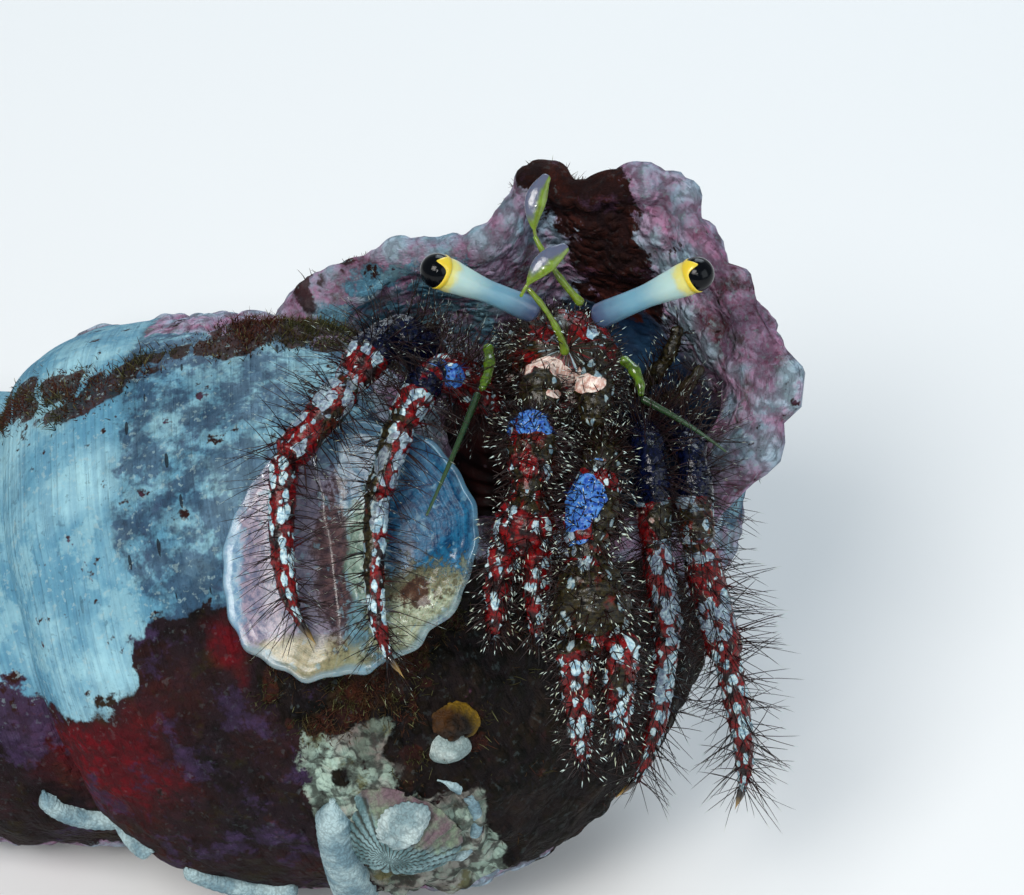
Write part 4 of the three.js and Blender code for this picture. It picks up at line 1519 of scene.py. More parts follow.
# The dirt bands on the mouth limbs and the shield paint shade under and behind the head, with grime.
MOUTH_BANDS = [("dirt", -1, 2, -1.2, 0.9)]
HEAD = {  # width, a place that it runs towards, markings
    "shield": (np.ones_like, [26.4, 40, 30], [("dirt", -1, 0.3, -1.2, 0.55), ("dirt", 0.3, 2, -1.2, 0.8)]),
    "eye_scale_right": (scale_width, [25, -9, 90], SCALE_BANDS),
    "eye_scale_left": (scale_width, [29, -9, 90], SCALE_BANDS),
    "mouth_limb_right": (folded_width, [27, -12, 55], MOUTH_BANDS),
    "mouth_limb_left": (folded_width, [27, -12, 55], MOUTH_BANDS),
}
# Cream patches of the face: right and up from the eyes' middle, half width, half height.
FACE_PATCHES = [
    (-1.9, -8.3, 1.7, 1),
    (-0.2, -9.3, 1.6, 1),
    (1.9, -10.9, 1.9, 1),
    (-1.1, -11.9, 0.9, 0.45),
    (-3.9, -8.9, 0.6, 0.9),
    (-5.6, -8.8, 0.4, 0.4),
]


def add_face_patches(part):
    """Marks cream where the distances from a patch over its half sizes, squared and added, stay
    below 1."""
    away = part["points"] - eyes_middle / MM
    up = np.cross(LOOK, [1, 0, 0])
    shake = 0.35 * hills(part["points"], 0.9, 15)
    cream = np.zeros(part["station"].shape)
    for right, high, wide, tall in FACE_PATCHES:
        far = ((away[..., 0] - right) / wide) ** 2 + ((away @ up - high) / tall) ** 2
        cream = np.maximum(cream, 1 - ease(far + shake, 0.6, 1.2))
    part["cream"] = cream * (part["facing"] > -0.2)
    part["dirt"] = part["dirt"] * (1 - cream)
    return part


head_parts = []
for number, (node, (width, toward, bands)) in enumerate(HEAD.items()):
    shape = (90, 110, width, 1.4) if node == "shield" else (60, 48, width, 1)
    part = plate(measure(node, toward, LOOK, bend=2), 0, 500 + 40 * number, *shape)
    head_parts.append(add_face_patches(add_marks(part, bands, 0.36, 0.3)))
    coat_fields.append(("head", part, 6 + number))
build("head_armour", as_grids(head_parts), "red_armour", armour, *HEAD)

holders = ("leg4_right", "leg4_left", "leg5_right", "leg5_left", "tail_fan")
holder_parts = []
for number, node in enumerate(holders):
    solid = measure(node, middle_of(node) / MM * 2 - shield_middle, LOOK, bend=2)
    part = plate(solid, 0, 800 + 40 * number, rows=60, columns=36, width=folded_width)
    # Dirt here is painted shade on the holding legs and tail, with grime.
    holder_parts.append(add_marks(part, [("dirt", -0.5, 1.5, -1.2, 0.9)], 0.3))
    coat_fields.append(("holders", holder_parts[-1], 11))
build("holding_legs_and_tail", as_grids(holder_parts), "red_armour", armour, *holders)

# %% [markdown]
# ## The soft belly
# The belly winds into the shell along the middle of the cavity, so the shell's own formula gives
# its line, and one ringed skin stands for both belly solids.

# %% Belly
BELLY_FROM, BELLY_TO = 0.03, 0.475


def belly_skin(rows=150, columns=72):
    """Rings round the cavity's middle line, wide soon and narrow slowly, with shallow folds."""
    shares = evenly(rows)
    turn_in = BELLY_FROM + (BELLY_TO - BELLY_FROM) * shares
    height, half, _ = whorl(turn_in)
    angle = pi / 2 + 2 * pi * turn_in
    width = np.interp(shares, [0, 0.14, 0.3, 0.5, 0.75, 1], [5.2, 7.4, 8.2, 8, 6.6, 4.4])
    near_end = 2 * np.clip(np.abs(shares - 0.5) - 0.43, 0, 1) / 0.142
    width = width * np.sqrt(np.clip(1 - near_end**2, 0.001, 1))
    folds = 1 + 0.025 * sin(2 * pi * shares * 22)
    turn = np.linspace(0, 2 * pi, columns, endpoint=False)[None]
    radius = (half + 0.8)[:, None] + (width * folds)[:, None] * sin(turn)
    high = height[:, None] + 1.1 * (width * folds)[:, None] * cos(turn)
    points = on_shell(high, angle[:, None], radius)
    points = points + grid_normals(points)[..., :] * (0.25 * hills(points, 3, 21))[..., None]
    return points, {"along": np.broadcast_to(shares[:, None], points.shape[:2])}


belly_finish = new_material("belly_finish", Roughness=0.45, Subsurface_Weight=0.2, Subsurface_Scale=0.0012)
belly_noise = noise(object_place(), 420, 5)
belly_tone = between(belly_noise, 0.38, 0.64)
belly_specks = specks(object_place(), 900, 0.22, 0.5)
belly_colour = layers((22, 9, 9), (belly_tone, (58, 26, 24)), (belly_specks, (96, 78, 84)))
wire_up(belly_colour, belly_noise, 0.0003)
build("belly_skin", [belly_skin()], "soft_belly", belly_finish, "belly_front", "belly_rear")

# %% [markdown]
# ## Feelers
# The first pair of feelers ends in a short leaf-shaped whip; the second has a thick glossy foot and
# a long tapering whip. All are tubes along the solids' lines, with a width for each kind.

# %% Feelers


def tube(solid, width, rows=60, columns=24, flat=1, root=0.15):
    """A smooth tube: half widths times a width curve, with rounded ends; a flat one is thinner
    towards the front."""
    length = length_of(solid)
    shares = np.linspace(-root / length, 1 + 0.15 / length, rows)
    middle, _, out, side, deep, beside = follow(solid, shares)
    thick = (deep + beside) / 2 * width(shares)
    to_end = np.minimum(shares - shares[0], shares[-1] - shares) * length + 0.01
    thick = thick * np.sqrt(1 - (1 - np.clip(to_end / np.maximum(thick, 0.05), 0, 1)) ** 2)
    points = rings(middle, out, side, thick * flat, thick / flat, columns)
    along = np.broadcast_to(np.clip(shares, 0, 1)[:, None], points.shape[:2])
    edge = np.broadcast_to(sin(round_turn(columns)[..., 0]), points.shape[:2])
    return points, {"along": along, "edge": edge}


def jointed(shares):
    """A slim stem of three links with slightly swollen ends."""
    return 0.56 + 0.16 * np.abs(cos(pi * (2.5 * np.clip(shares, 0, 1)))) ** 4


def leaf(shares):
    """Slim root, full middle, pointed end."""
    return 0.26 + 1.15 * sin(pi * np.clip(shares, 0, 1) ** 1.1 * 0.9) ** 0.6


def ringed(shares):
    """An even taper with shallow rings."""
    return (1 - 0.55 * np.clip(shares, 0, 1)) * (1 + 0.012 * sin(2 * pi * shares * 34))


FEELER_SHAPES = {
    "antennule": (jointed, 1, [26.5, 1, 80]),
    "antennule_whip": (leaf, 0.62, [26, 6, 95]),
    "antenna_stem": (jointed, 1, [26.8, -30, 58]),
    "antenna": (ringed, 1, [26.8, -60, 40]),
}
feeler_finish = new_material(
    "feeler_finish", Roughness=0.25, Coat_Weight=0.4, Subsurface_Weight=0.2, Subsurface_Scale=0.0005
)
feeler_noise = noise(object_place(), 1500, 3)
green = mix(between(feeler_noise, 0.35, 0.65), (20, 50, 10), (72, 108, 22))
olive = mix(between(mark("along"), 0, 0.8), (30, 52, 26), (44, 70, 40))
leaf_edge = 0.5 * feeler_noise + mark("edge") - 0.35 * mark("along")
leaf_share = mark("leafy") * between(leaf_edge, 0, 0.5, 1, 0) * between(mark("along"), 0.05, 0.3)
feeler_colour = layers(
    green, (mark("yellow"), (150, 168, 30)), (mark("dark"), olive), (leaf_share, (84, 90, 112))
)
wire_up(feeler_colour, feeler_noise, 0.00008)

for side in ("right", "left"):
    grids = []
    names = [f"{kind}_{side}" for kind in FEELER_SHAPES]
    for name, (kind, (width, flat, toward)) in zip(names, FEELER_SHAPES.items(), strict=True):
        solid = measure(name, toward, LOOK, bend=2)
        root = 1.5 if kind == "antennule_whip" else 0.15
        points, marks = tube(solid, width, rows=220 if kind == "antenna" else 70, flat=flat, root=root)
        level = np.ones(points.shape[:2])
        marks["yellow"] = level * (0.32 if kind.startswith("antennule") else 0.1)
        marks["dark"] = level * (1 if kind == "antenna" else 0)
        marks["leafy"] = level * (kind == "antennule_whip")
        grids.append((points, marks))
    build(f"feelers_{side}", grids, "feeler", feeler_finish, *names)

# %% [markdown]
# ## What grows on the shell
# A large flat valve of another shell sits on the body whorl, smooth inner side out. Below grow a
# ribbed limpet, a fan shell, worm tubes, a white cap and a golden sponge. Discs are functions of
# distance and direction, so their rims can wave.

# %% Places on the shell


def outside_radius(height, angle):
    """Distance from the axis to the shell's outside: the largest superellipse of all whorls
    there."""
    turn = (angle / 360 - 0.25) % 1
    radius = np.full(np.broadcast(height, angle).shape, float(PILLAR))
    for extra in range(SPIRE_TURNS):
        middle, half, reach = whorl(turn + extra)
        q = (height - middle) / reach
        power = np.where(q > 0, 3.4, 2.05)
        rise = np.clip(1 - np.abs(q) ** power, 0, 1) ** (1 / power)
        radius = np.maximum(radius, np.where(np.abs(q) < 1, half + half * rise, 0))
    return radius


def frame_at(centre, lean=0):
    """Directions away from the axis, towards the mouth end, and the third. A lean turns the first
    to the front."""
    height, angle, _ = shell_place(centre)
    angle = np.radians(angle)
    away = unit(on_shell(height, angle, 100) - on_shell(height, angle, 0))
    away = unit(away + lean * LOOK)
    right = unit(-to_spire + to_spire @ away * away)
    return centre, away, right, np.cross(away, right)


def growth_frame(node, lean=0):
    """The frame at the middle of the top of a growth's solid."""
    centre, away, right, up = frame_at(middle_of(node) / MM, lean)
    corners = corners_of(node)[1]
    top = (corners @ away).max()
    rim = corners[corners @ away > top - 1.2]
    centre = (rim.min(axis=0) + rim.max(axis=0)) / 2
    return centre + (top - centre @ away) * away, away, right, up


def spot_frame(height, angle, lift=0, lean=0):
    """The frame at a height and an angle on the shell's outside."""
    turn = np.radians(angle)
    return frame_at(on_shell(height, turn, float(outside_radius(height, angle)) + lift), lean)


def lid(place, radius, height_at, thickness, rings=70, columns=160):
    """A closed disc: from the middle of its top out to the rim and back underneath."""
    centre, away, right, up = place
    turn = np.linspace(0, 2 * pi, columns, endpoint=False)[None]
    share = np.linspace(0.01, 1, rings)[:, None]
    wide = radius(turn) * share
    x, y = wide * cos(turn), wide * sin(turn)
    flat = stacked(x, y, 0 * x)
    high = height_at(share + 0 * turn, turn + 0 * share, x, y, flat)
    top = centre + x[..., None] * right + y[..., None] * up + high[..., None] * away
    below = top - (thickness * (1 - 0.55 * share**4))[..., None] * away
    below = below + (0.35 * (share**4))[..., None] * (centre - top) / np.maximum(wide, 1)[..., None]
    flat[..., 2] = share
    marks = {"flat": joined(flat, flat[::-1])}
    return joined(top, below[::-1]), marks


print("valve middle:", growth_frame("cup_valve")[0].round(1))

# %% Shape of the large valve
VALVE_TURNS = np.radians([-180, -135, -90, -45, 0, 45, 90, 135, 180])
VALVE_REACH = [13.5, 15, 12.2, 12.2, 14.6, 15, 14.2, 12.6, 13.5]
VALVE_SCALE = 0.95


def valve_outline(turn):
    """Distances to the rim in eight directions, joined smoothly, plus small ripples."""
    wrapped = (turn + pi) % (2 * pi) - pi
    fine = np.linspace(-pi, pi, 181)
    reach = np.interp(fine, VALVE_TURNS, VALVE_REACH)
    soft = np.stack([np.roll(reach[:-1], k) for k in range(-14, 15)]).mean(axis=0)
    smooth = np.interp(wrapped, fine, np.append(soft, soft[0]))
    ripple = 0.008 * sin(9 * turn) + 0.007 * sin(23 * turn + 1)
    lower = ease(-sin(turn), 0.1, 0.8)
    ripple = ripple + 0.022 * lower * (sin(13 * turn + 2) + sin(19 * turn) * sin(5 * turn))
    return VALVE_SCALE * smooth * (1 + ripple)


def valve_height(share, turn, x, y, flat):
    """A dished plate: a left lobe ends in a step with crusty lumps; the rim is raised, one corner
    rough."""
    dish = -1.3 * (1 - share**2.5) - 0.5
    lobe = 1.9 * np.exp(-(((x + 7.4) / 4.6) ** 2) - ((y + 1) / 10) ** 2)
    step = 0.5 * ease(x + 0.1 * y + 0.6 * hills(flat, 2, 33), -2.4, 0.6)
    step = step * (1 - ease(x, 2, 7)) * (1 - share**4)
    groove = -0.5 * bump_at(x + 0.1 * y, -1.9, 0.9) * (1 - share**3)
    ridges = sin(2 * pi * share * 13 + 2 * sin(turn) + 0.8 * sin(3 * turn))
    ridges = 0.016 * ridges * ease(share, 0.7, 0.95)
    lumps = bump_at(x, 1.6, 1.6) * bump_at(y, 0.3, 5)
    lumps = lumps * (0.9 * knobs(flat, 2, 61) + 0.3 * hills(flat, 0.9, 34))
    corner = ease(x - 1.1 * y, 8.5, 12) * (0.5 + 0.9 * np.abs(rough_hills(flat, 2.6, 31)))
    rim = (0.22 + 0.2 * cos(turn - 0.7)) * ease(share, 0.9, 0.97) - 0.6 * ease(share, 0.975, 1)
    return dish + lobe + step + groove + ridges + lumps + corner + rim


valve_grid = lid(growth_frame("cup_valve"), valve_outline, valve_height, 1.6, 120, 270)
valve_piece = join_grids("large_valve", [valve_grid])
print("valve:", len(valve_piece.data.polygons), "faces")

# %% [markdown]
# ## Finish of the valve
# The inner side of such a valve is smooth lime in clear colours that flow into each other. Each is
# one soft ellipse on the flat disc, pushed about by clouds.

# %% Colours of the valve
VALVE_COLOURS = [  # middle x and y, half widths, grain, strength, two tones
    (9.5, 4, 6.2, 9.5, 0.35, 1, (8, 46, 82), (30, 100, 138)),
    (2, 9.5, 6.5, 4.5, 0.3, 0.7, (48, 84, 122), (96, 132, 158)),
    (-7.6, 0, 7.2, 15, 0.2, 1, (88, 92, 118), (150, 136, 152)),
    (-13, 2, 2.4, 11, 0.4, 0.85, (104, 142, 170), (150, 184, 200)),
    (-5.5, -11, 8, 3.2, 0.5, 0.8, (120, 116, 74), (160, 150, 104)),
    (-3.6, 1, 1.7, 9, 0.3, 0.8, (96, 92, 116), (128, 122, 140)),
    # Painted shade: the dark brown strip along the groove at the lobe's step.
    (-1.6, -0.5, 2, 8, 1.4, 0.85, (44, 22, 22), (94, 62, 56)),
    (1.8, 0.2, 1.9, 5.6, 1.2, 1, (76, 104, 92), (150, 172, 158)),
    (8.6, -7.2, 6.4, 5.6, 1.2, 1, (126, 132, 100), (196, 206, 180)),
    (6.6, -3.2, 4.6, 1.6, 1.8, 0.7, (66, 54, 32), (116, 104, 60)),
    (7, -4.4, 1.9, 1.3, 2.2, 0.85, (56, 18, 14), (92, 44, 30)),
    (10.8, -8.4, 1.6, 1.5, 2, 0.8, (80, 26, 18), (110, 52, 30)),
]
CHALK_CORNER = 8  # which of them is rough
valve_finish = new_material(
    "valve_finish",
    Coat_Weight=0.3,
    Coat_Roughness=0.12,
    Subsurface_Weight=0.12,
    Subsurface_Scale=0.001,
    Specular_IOR_Level=0.35,
)
flat_place = mark("flat", "Vector")
valve_x, valve_y, rim_share = split(flat_place)
valve_cloud = noise(flat_place, 0.3, 6)
grain = noise(flat_place, 1.2, 6, 0.7)
pushed_place = pushed(flat_place, valve_cloud, (3.2, 3.2, 0))
covers = []
for x, y, wide, tall, roughness, strength, low, high in VALVE_COLOURS:
    shift = (-(x + 1.6) / wide, -(y + 1.6) / tall, 0)
    shrunk = scaled(pushed_place, (1 / wide, 1 / tall, 0), shift)
    far = Wire(put("VectorMath", {0: shrunk}, operation="LENGTH").outputs["Value"])
    share = between((grain - 0.5) * (1.6 * roughness) + far, 0.8, 1.2, strength, 0)
    covers.append((share, mix(between(grain, 0.36, 0.64), low, high)))
chalk_corner = covers[CHALK_CORNER][0]

print("colours on the valve:", len(covers))

# %% Lines, rim and gloss of the valve
ray_turn = sums("ARCTAN2", valve_y, valve_x)
ray_place = Wire(put("CombineXYZ", {"X": ray_turn * 18, "Y": rim_share}).outputs[0])
rays = noise(ray_place, 1)
line_place = Wire(put("CombineXYZ", {"X": rim_share * 70, "Y": ray_turn}).outputs[0])
lines = noise(line_place, 1)
near_rim = between(rim_share, 0.66, 0.95) * between(valve_x, 0, 4)
scratches = between(rays, 0.62, 0.7) * between(rim_share, 0.4, 0.9)
valve_colour = layers(
    mix(between(valve_cloud, 0.35, 0.65), (56, 88, 104), (98, 134, 146)),
    *covers,
    (between(lines, 0.45, 0.62) * near_rim * 0.1, (120, 156, 178)),
    (scratches * 0.12, (140, 178, 196)),
    (between(noise(pushed_place, 0.9, 3), 0.6, 0.68) * 0.5, (124, 162, 178)),
    (between((valve_cloud - 0.5) * 0.2 + rim_share, 0.92, 0.98) * 0.6, (104, 142, 164)),
)
corner_grain = grain * highest(chalk_corner, 0.08)
valve_relief = 0.03 * between(rays, 0.4, 0.6) + 0.07 * lines + 1.6 * corner_grain
wire_up(valve_colour, valve_relief, 0.0004, between(chalk_corner, 0, 1, 0.24, 0.8))
finish_piece(valve_piece, "nacre", valve_finish, "cup_valve")

# %% Shapes of the small growths
RIBS = 26


def limpet_outline(turn):
    """A circle with a scallop for each rib."""
    return 6.9 * (1 + 0.03 * np.abs(cos(RIBS / 2 * turn)) + 0.03 * cos(turn + 0.6))


def limpet_height(share, turn, x, y, flat):
    """A low cone with ribs, growth lines and crust on its right and upper side."""
    cone = -4.6 * np.clip(np.hypot(x - 0.9, y - 0.4) / 7, 0, 1.2) ** 1.4
    ribs = 0.36 * np.abs(cos(RIBS / 2 * turn)) * ease(share, 0.1, 0.6)
    lines = 0.08 * sin(2 * pi * (share * 11 + 0.2 * sin(3 * turn)))
    crust = ease(x + y, 3, 6.5) * (0.9 * knobs(flat, 2.2, 62) + 0.3 * hills(flat, 1, 35))
    return cone + ribs + lines + crust + 0.14 * hills(flat, 1.4, 41)


def fan_outline(turn):
    """A fan round one side, drawn in to a point on the other."""
    return 3.4 * (0.36 + 0.72 * ease(cos(turn - 2.3), -0.75, 0.35)) * (1 + 0.02 * cos(34 * turn))


def fan_height(share, turn, x, y, flat):
    """A shallow dome with fine ribs from the point."""
    fan_turn = np.arctan2(y + 1.9, x - 2.1)
    return -1.7 * share**2.2 + 0.22 * np.abs(cos(9 * fan_turn)) + 0.05 * sin(22 * share)


def cap_outline(turn):
    """A small, nearly round rim."""
    return 2.2 * (1 + 0.05 * cos(3 * turn + 0.4) + 0.1 * cos(2 * turn))


def cap_dome(share, turn, x, y, flat):
    """A low dome with a few pits."""
    return -1.9 * share**2.4 + 0.14 * hills(flat, 0.9, 43)


def sponge_outline(turn):
    """A lobed rim."""
    return 2.6 * (1 + 0.1 * cos(2 * turn + 0.4) + 0.04 * cos(5 * turn + 1))


def sponge_height(share, turn, x, y, flat):
    """A low cushion covered with knobs."""
    return -2.6 * share**2.4 + 1.1 * knobs(flat, 1.2, 63) + 0.35 * hills(flat, 0.7, 36)


def worm_tube(heights, angles, thick, lift=0.4, steps=90, columns=32):
    """A chalky tube over the shell through a few heights and angles, joined by a
    polynomial, with growth rings and thin ends."""
    share = evenly(steps)
    knots = evenly(len(heights))
    height, angle = (np.polyval(np.polyfit(knots, v, len(v) - 1), share) for v in (heights, angles))
    middle = on_shell(height, np.radians(angle), outside_radius(height, angle) + lift)
    tangent = unit(np.gradient(middle, axis=0))
    away = unit(middle - mouth - ((middle - mouth) @ to_spire)[:, None] * to_spire)
    side = np.cross(tangent, away)
    ends = np.clip(sin(pi * np.clip(share, 0.02, 0.98)) * 3, 0.1, 1)
    width = thick * ends * (0.8 + 0.3 * share) * (1 + 0.03 * sin(2 * pi * share * 19))
    points = rings(middle, away, side, width, width, columns)
    turns_round = round_turn(columns)[..., 0] + 0 * share[:, None]
    flat = stacked(8 * share[:, None] + 0 * turns_round, turns_round, 0.7 + 0 * turns_round)
    return points, {"flat": flat}


print("fan shell reaches", fan_outline(np.array([2.3, -0.84])).round(2), "mm to both sides")

# %% Finish of the small growths
small_finish = new_material("small_shell_finish", Roughness=0.7, Specular_IOR_Level=0.25)
place = object_place()
small_crust = use_group(crust_group, {"Place": place, "Pebbles per metre": 3200})["Height"]
small_cloud = noise(place, 320, 5, 0.6)
small_tone = between(small_cloud, 0.36, 0.64)
small_x, small_y, small_rim = split(mark("flat", "Vector"))
rib_wave = sums("ABSOLUTE", sums("COSINE", sums("ARCTAN2", small_y, small_x) * (RIBS / 2)))
ribbed = mark("ribbed")
rib_dark = between(rib_wave, 0.2, 0.75, 0.85, 0) * ribbed
covered = between(6 * small_cloud + small_x + small_y, 6.2, 8.2) * ribbed
limpet_colour = layers(
    mix(small_tone, (78, 108, 112), (136, 166, 170)),
    (rib_dark, (44, 44, 36)),
    (covered, mix(small_tone, (108, 88, 96), (120, 140, 116))),
)
sponge_gold = layers(
    mix(small_tone, (14, 7, 2), (66, 38, 6)), (between(small_rim, 0.7, 1, 0, 0.6), (150, 118, 16))
)
small_colour = layers(
    mix(small_tone, (106, 136, 148), (164, 188, 192)),
    (ribbed, limpet_colour),
    (mark("white"), mix(small_tone, (132, 152, 152), (204, 216, 212))),
    (mark("stained"), sponge_gold),
    # Painted shade in the crust's pits.
    (between(small_crust, 0.2, 0.42, 0.3, 0), (40, 34, 30)),
)
wire_up(small_colour, small_crust, 0.0001)


def labelled(grid, ribbed=0, stained=0, white=0):
    """Adds how ribbed, stained and white a growth is."""
    points, marks = grid
    level = np.ones(points.shape[:2])
    points[..., 2] = np.maximum(points[..., 2], 0)
    return points, {**marks, "ribbed": level * ribbed, "stained": level * stained, "white": level * white}


print("small growths:", len(bench.nodes), "nodes")

# %% Place the small growths
limpet = lid(growth_frame("ribbed_limpet", 0.35), limpet_outline, limpet_height, 1.4, 70, 208)
fan_shell = lid(spot_frame(10.7, -45.4, 4.9, 0.7), fan_outline, fan_height, 0.5, 50, 180)
cap_grid = lid(growth_frame("small_cap", 0.4), cap_outline, cap_dome, 1.2, 30, 60)
sponge = lid(spot_frame(5.7, -29.4, 2.2, 0.2), sponge_outline, sponge_height, 1.6, 50, 120)
limpet, fan_shell = labelled(limpet, ribbed=1), labelled(fan_shell, white=0.5)
cap_grid, sponge = labelled(cap_grid, white=1), labelled(sponge, stained=1)
build("limpet_ribbed", [limpet, fan_shell], "small_shells", small_finish, "ribbed_limpet")
build("cap_small", [cap_grid, sponge], "small_shells", small_finish, "small_cap")
WORM_TUBES = [
    ([18.6, 19.6, 20.4, 22.2], [-40, -52, -66, -86], 2.2),
    ([8, 5.4, 6.2, 9.4], [-41, -50, -60, -66], 0.7),
    ([52, 50.5, 46, 41], [-46, -55, -60, -58], 1.3),
    ([38, 36, 31, 27.5], [-63, -70, -74, -71], 1.1),
    ([30, 24, 17, 12], [112, 121, 118, 128], 0.9),
    ([44, 38, 33, 30], [140, 150, 149, 160], 0.8),
    ([0, 4, 9, 12], [203, 210, 206, 214], 1),
]
tube_grids = [labelled(worm_tube(heights, angles, thick)) for heights, angles, thick in WORM_TUBES]
build("worm_tubes", tube_grids, "small_shells", small_finish)

# %% [markdown]
# ## The coat of bristles
# The species is called hairy for good reason: stiff bristles stand in tufts, long on the legs,
# short on the claws and the head. A particle system would not survive an export, so they are real
# meshes: three-sided tapering tubes. Each has its own small patch on a map named OFBake, which
# unrolls the limbs side by side.

# %% Bristle meshes
RINGS = 4
SIDES = 3
EACH = RINGS * SIDES + 1  # points in one bristle
PATCH = 0.003  # size of one bristle's patch on its map
FIELDS = 12  # limbs unrolled side by side on the map


def bristle_points(roots, way, bend, length, thick, taper):
    """Rings up each bristle: root plus way times the share plus bend times the share squared, and a
    tip."""
    share = np.linspace(0, 0.86, RINGS)[None, :, None]
    long = length[:, None, None]
    middle = roots[:, None] + long * (way[:, None] * share + bend[:, None] * share**2)
    tip = roots + length[:, None] * (way + bend)
    helper = np.where(np.abs(way[:, 2:3]) < 0.9, [[0, 0, 1]], [[1, 0, 0]])
    first = unit(np.cross(way, helper))
    second = np.cross(way, first)
    turn = 2 * pi * np.arange(SIDES) / SIDES
    radial = first[:, None, None] * cos(turn)[:, None] + second[:, None, None] * sin(turn)[:, None]
    radius = thick[:, None, None, None] * (1 - taper * share[..., None])
    rings = middle[:, :, None] + radial * radius
    return np.concatenate([rings.reshape(len(roots), -1, 3), tip[:, None]], axis=1)


def bristle_faces(count):
    """One pattern of corner numbers, repeated with a step."""
    ring, side = np.meshgrid(np.arange(RINGS - 1), np.arange(SIDES), indexing="ij")
    low = (ring * SIDES + side).ravel()
    beside = (ring * SIDES + (side + 1) % SIDES).ravel()
    quads = np.stack([low, beside, beside + SIDES, low + SIDES], axis=1)
    top = (RINGS - 1) * SIDES
    corner = np.arange(SIDES)
    points = np.stack([top + corner, top + (corner + 1) % SIDES, np.full(3, EACH - 1)], axis=1)
    base = np.array([[2, 1, 0]])
    threes = joined(points, base)
    step = (np.arange(count) * EACH)[:, None, None]
    return (quads + step).reshape(-1, 4), (threes + step).reshape(-1, 3)


def bristle_piece(name, roots, way, bend, length, thick, marks, spots, taper=0.75):
    """One coat piece from roots, ways, bends, lengths and root radii. Its map OFBake has
    a patch for each bristle."""
    count = len(roots)
    quads, threes = bristle_faces(count)
    points = bristle_points(roots, way, bend, length, thick, taper).reshape(-1, 3)
    piece = mesh_of(name, points * MM, quads, threes)
    along = np.append(np.repeat(np.linspace(0, 0.86, RINGS), SIDES), 1)
    around_share = np.append(np.tile(np.arange(SIDES) / SIDES, RINGS), 0.5)
    write_marks(piece, "along", np.tile(along, count))
    write_marks(piece, "luck", np.repeat(random.random(count), EACH))
    for mark_name, values in marks.items():
        write_marks(piece, mark_name, np.repeat(values, EACH, axis=0))
    corners = np.stack([np.tile(around_share, count), np.tile(along, count)], axis=1)
    places = np.repeat(spots, EACH, axis=0) + PATCH * (corners - 0.5)
    corner = np.zeros(len(piece.data.loops), np.int32)
    piece.data.loops.foreach_get("vertex_index", corner)
    layer = piece.data.uv_layers.new(name="OFBake")
    layer.uv.foreach_set("vector", places[corner].astype(np.float32).ravel())
    return piece


print("faces in one bristle:", sum(len(part) for part in bristle_faces(1)))

# %% Where bristles stand


def roots_on(part, gap, jitter=0.45):
    """Rows and columns of roots: tufts at even gaps, every other row shifted, each moved a little
    at random."""
    points = part["points"]
    rows, columns = points.shape[:2]
    middle_line = points.mean(axis=1)
    along = joined([0], np.cumsum(np.linalg.norm(np.diff(middle_line, axis=0), axis=1)))
    rims = np.linalg.norm(points - np.roll(points, 1, axis=1), axis=-1).sum(axis=1)
    around_count = max(3, int(np.median(rims) / gap))
    lines = np.arange(0.3 * gap, along[-1] - 0.2 * gap, gap * 0.87)
    line, place = np.meshgrid(np.arange(len(lines)), np.arange(around_count), indexing="ij")
    shift = random.uniform(-jitter, jitter, (2, *line.shape))
    row = np.interp(lines[line] + shift[0] * gap, along, np.arange(rows))
    column = (place + 0.5 * (line % 2) + shift[1]) / around_count * columns
    return np.round(row).astype(int).ravel(), np.round(column).astype(int).ravel() % columns


# Sizes in millimetres: gap between tufts, bristles in a tuft, length, root radius; then
# how much a bristle leans to the limb's tip, how much it strays, how much it tapers,
# where its pale tip starts, and how many of them have a pale tip.
COATS = {
    "leg": (1.05, 2, 5.2, 0.062, 0.12, 0.22, 0.6, 0.86, 0.55),
    "claw": (0.95, 3, 2.3, 0.072, 0.35, 0.4, 0.4, 0.74, 0.4),
    "head": (0.95, 3, 1.9, 0.066, 0.25, 0.45, 0.4, 0.72, 0.4),
    "holders": (1.1, 3, 2.2, 0.07, 0.2, 0.4, 0.4, 0.75, 0.4),
}


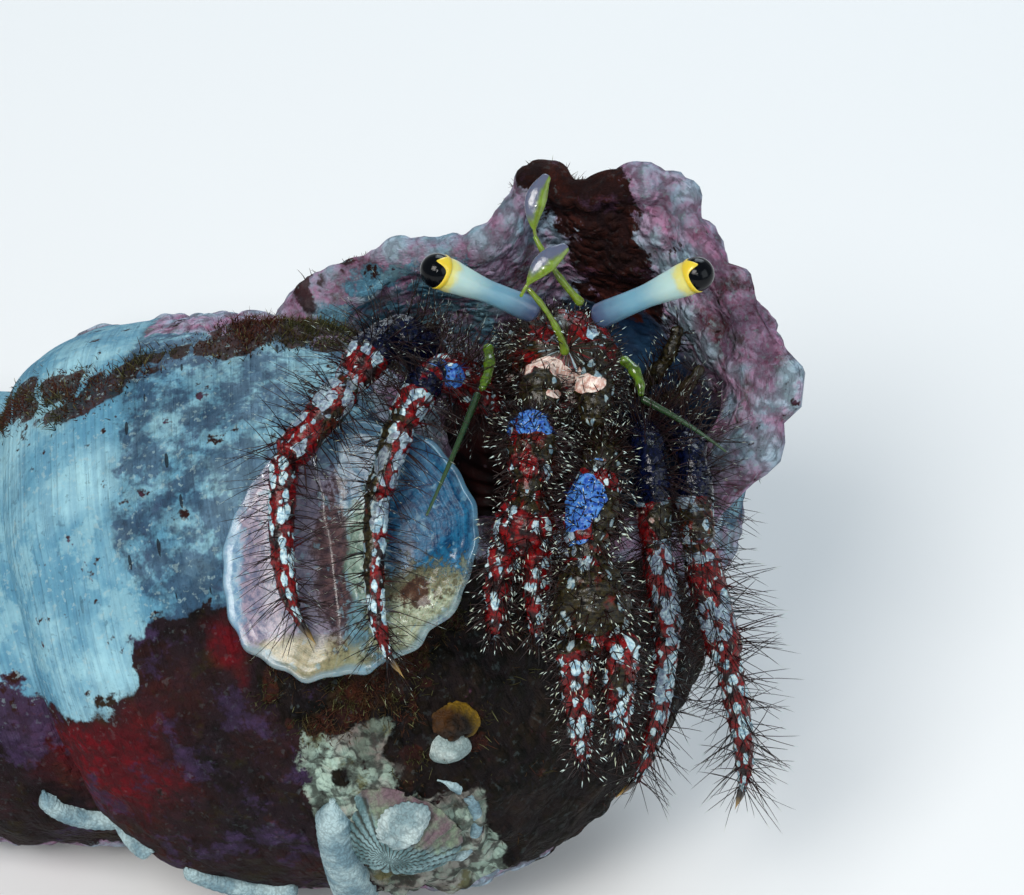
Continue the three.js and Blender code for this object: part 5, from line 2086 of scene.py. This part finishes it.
def coat_on(name, fields, coat):
    """Tufted bristles: a way is the normal leaned towards the limb's tip plus a random part. More
    stand on the side that looks out."""
    gap, tuft, length, thick, lean, stray, taper, pale_from, pale_chance = coat
    gathered = []
    for part, field in fields:
        normals = grid_normals(part["points"])
        outward = part["points"] - part["points"].mean(axis=1, keepdims=True)
        normals = normals * np.sign(np.einsum("rci,rci->rc", normals, outward).mean())
        row, column = roots_on(part, gap)
        row, column = np.tile(row, tuft), np.tile(column, tuft)
        wanted = 0.35 + 0.65 * ease(part["facing"][row, column], -0.6, 0.2)
        chosen = random.random(len(row)) < wanted * (1 - 0.8 * part["cream"][row, column])
        row, column = row[chosen], column[chosen]
        normal, tangent = normals[row, column], part["tangent"][row, column]
        way = unit(normal + lean * tangent + random.normal(0, stray, (len(row), 3)))
        across = (field + 0.05 + 0.9 * part["turn"][row, column]) / FIELDS
        along = 0.02 + 0.96 * np.clip(part["station"][row, column] / 6.2, 0, 1)
        marks = {"limb_place": part["limb_place"][row, column]}
        marks.update({key.lower(): part[key.lower()][row, column] for key in MARKS})
        roots = part["points"][row, column] - 0.12 * normal
        gathered.append((roots, way, tangent, np.stack([across, along], axis=1), marks))
    roots, way, tangent, spots = (joined(*[g[k] for g in gathered]) for k in range(4))
    marks = {key: joined(*[g[4][key] for g in gathered]) for key in gathered[0][4]}
    count = len(roots)
    marks["pale_from"] = np.where(random.random(count) < pale_chance, pale_from, 0.97)
    long = length * random.uniform(0.5, 1.15, count)
    bend = 0.16 * unit(tangent + random.normal(0, 0.6, (count, 3)))
    thickness = thick * random.uniform(0.75, 1.2, count)
    return bristle_piece(name, roots, way, bend, long, thickness, marks, spots, taper)


bristle_finish = new_material("bristle_finish", Roughness=0.4, Specular_IOR_Level=0.3)
along, luck = mark("along"), mark("luck")
bristle_colour = layers(
    mix(0.6, place_crab_colours()["Colour"], (24, 8, 8)),
    (between(along, 0.05, 0.3), mix(luck, (10, 6, 6), (40, 16, 12))),
    (between(along - mark("pale_from"), 0, 0.08), mix(luck, (196, 202, 172), (216, 240, 238))),
)
wire_up(bristle_colour)

for owner in (*LEG_BANDS, *CLAW_BANDS, "head", "holders"):
    fields = [(part, number) for name, part, number in coat_fields if name == owner]
    kind = owner if owner in COATS else owner[:4].strip("0123456789")
    finish_piece(coat_on(f"{owner}_bristles", fields, COATS[kind]), "red_armour", bristle_finish)

# %% [markdown]
# ## Turf on the shell
# Short olive weed grows along the ridge, under the body whorl and on the lip. Its blades are the
# same bristle meshes, standing where the shell's turf region is strong.

# %% Turf
TURF_BLADES = 8800


def turf_on_shell():
    """Blades at grid points picked by chance, more where the turf mask is high and cells are
    large."""
    outside = len(inside_turns) + len(roll)
    points, mask = shell_points[outside:], regions["turf"][outside:]
    normal = normals[outside:]
    steps = np.gradient(points, axis=0), np.gradient(points, axis=1)
    cell = np.linalg.norm(np.cross(*steps), axis=-1)
    _, _, radius = shell_place(points)
    height, angle, _ = shell_place(points)
    shown = ease(radius, outside_radius(height, angle) - 2.5, outside_radius(height, angle) - 1)
    chance = (mask**2 * cell * shown).ravel()
    picked = random.choice(chance.size, TURF_BLADES, p=chance / chance.sum())
    roots = points.reshape(-1, 3)[picked]
    away = normal.reshape(-1, 3)[picked]
    stray = random.normal(0, 0.7, roots.shape)
    roots = roots + stray - (stray * away).sum(axis=1, keepdims=True) * away - 0.1 * away
    way = unit(away + random.normal(0, 0.45, roots.shape))
    bend = 0.5 * unit(random.normal(0, 1, roots.shape) + [0, 0, -0.6])
    tall = 0.4 + 0.7 * ease(hills(roots, 4, 51), -0.5, 0.5)
    long = random.uniform(0.6, 1.5, TURF_BLADES) * tall
    thick = random.uniform(0.04, 0.085, TURF_BLADES)
    row, column = np.divmod(picked, SHELL_COLUMNS)
    spots = np.stack([0.01 + 0.98 * column / SHELL_COLUMNS, 0.01 + 0.98 * row / len(points)], axis=1)
    keep = roots[:, 2] > 0.9
    return [values[keep] for values in (roots, way, bend, long, thick)], spots[keep]


blades, spots = turf_on_shell()
turf_piece = bristle_piece("shell_turf", *blades, {}, spots)
turf_finish = new_material("turf_finish", Roughness=0.7, Specular_IOR_Level=0.2)
clump = between(noise(object_place(), 160), 0.42, 0.58)
turf_high = mix(clump, (84, 40, 24), (66, 66, 30))
turf_high = mix(between(mark("luck"), 0.85, 0.97), turf_high, (130, 132, 88))
wire_up(mix(mark("along"), mix(clump, (26, 12, 8), (26, 26, 12)), turf_high))
finish_piece(turf_piece, "shell_crust", turf_finish)

# %% [markdown]
# ## Sizes and the end
# The last cell counts the pieces and their faces.

# %% Finish
print("pieces:", len(pieces), "faces:", sum(len(p.data.polygons) for p in pieces))
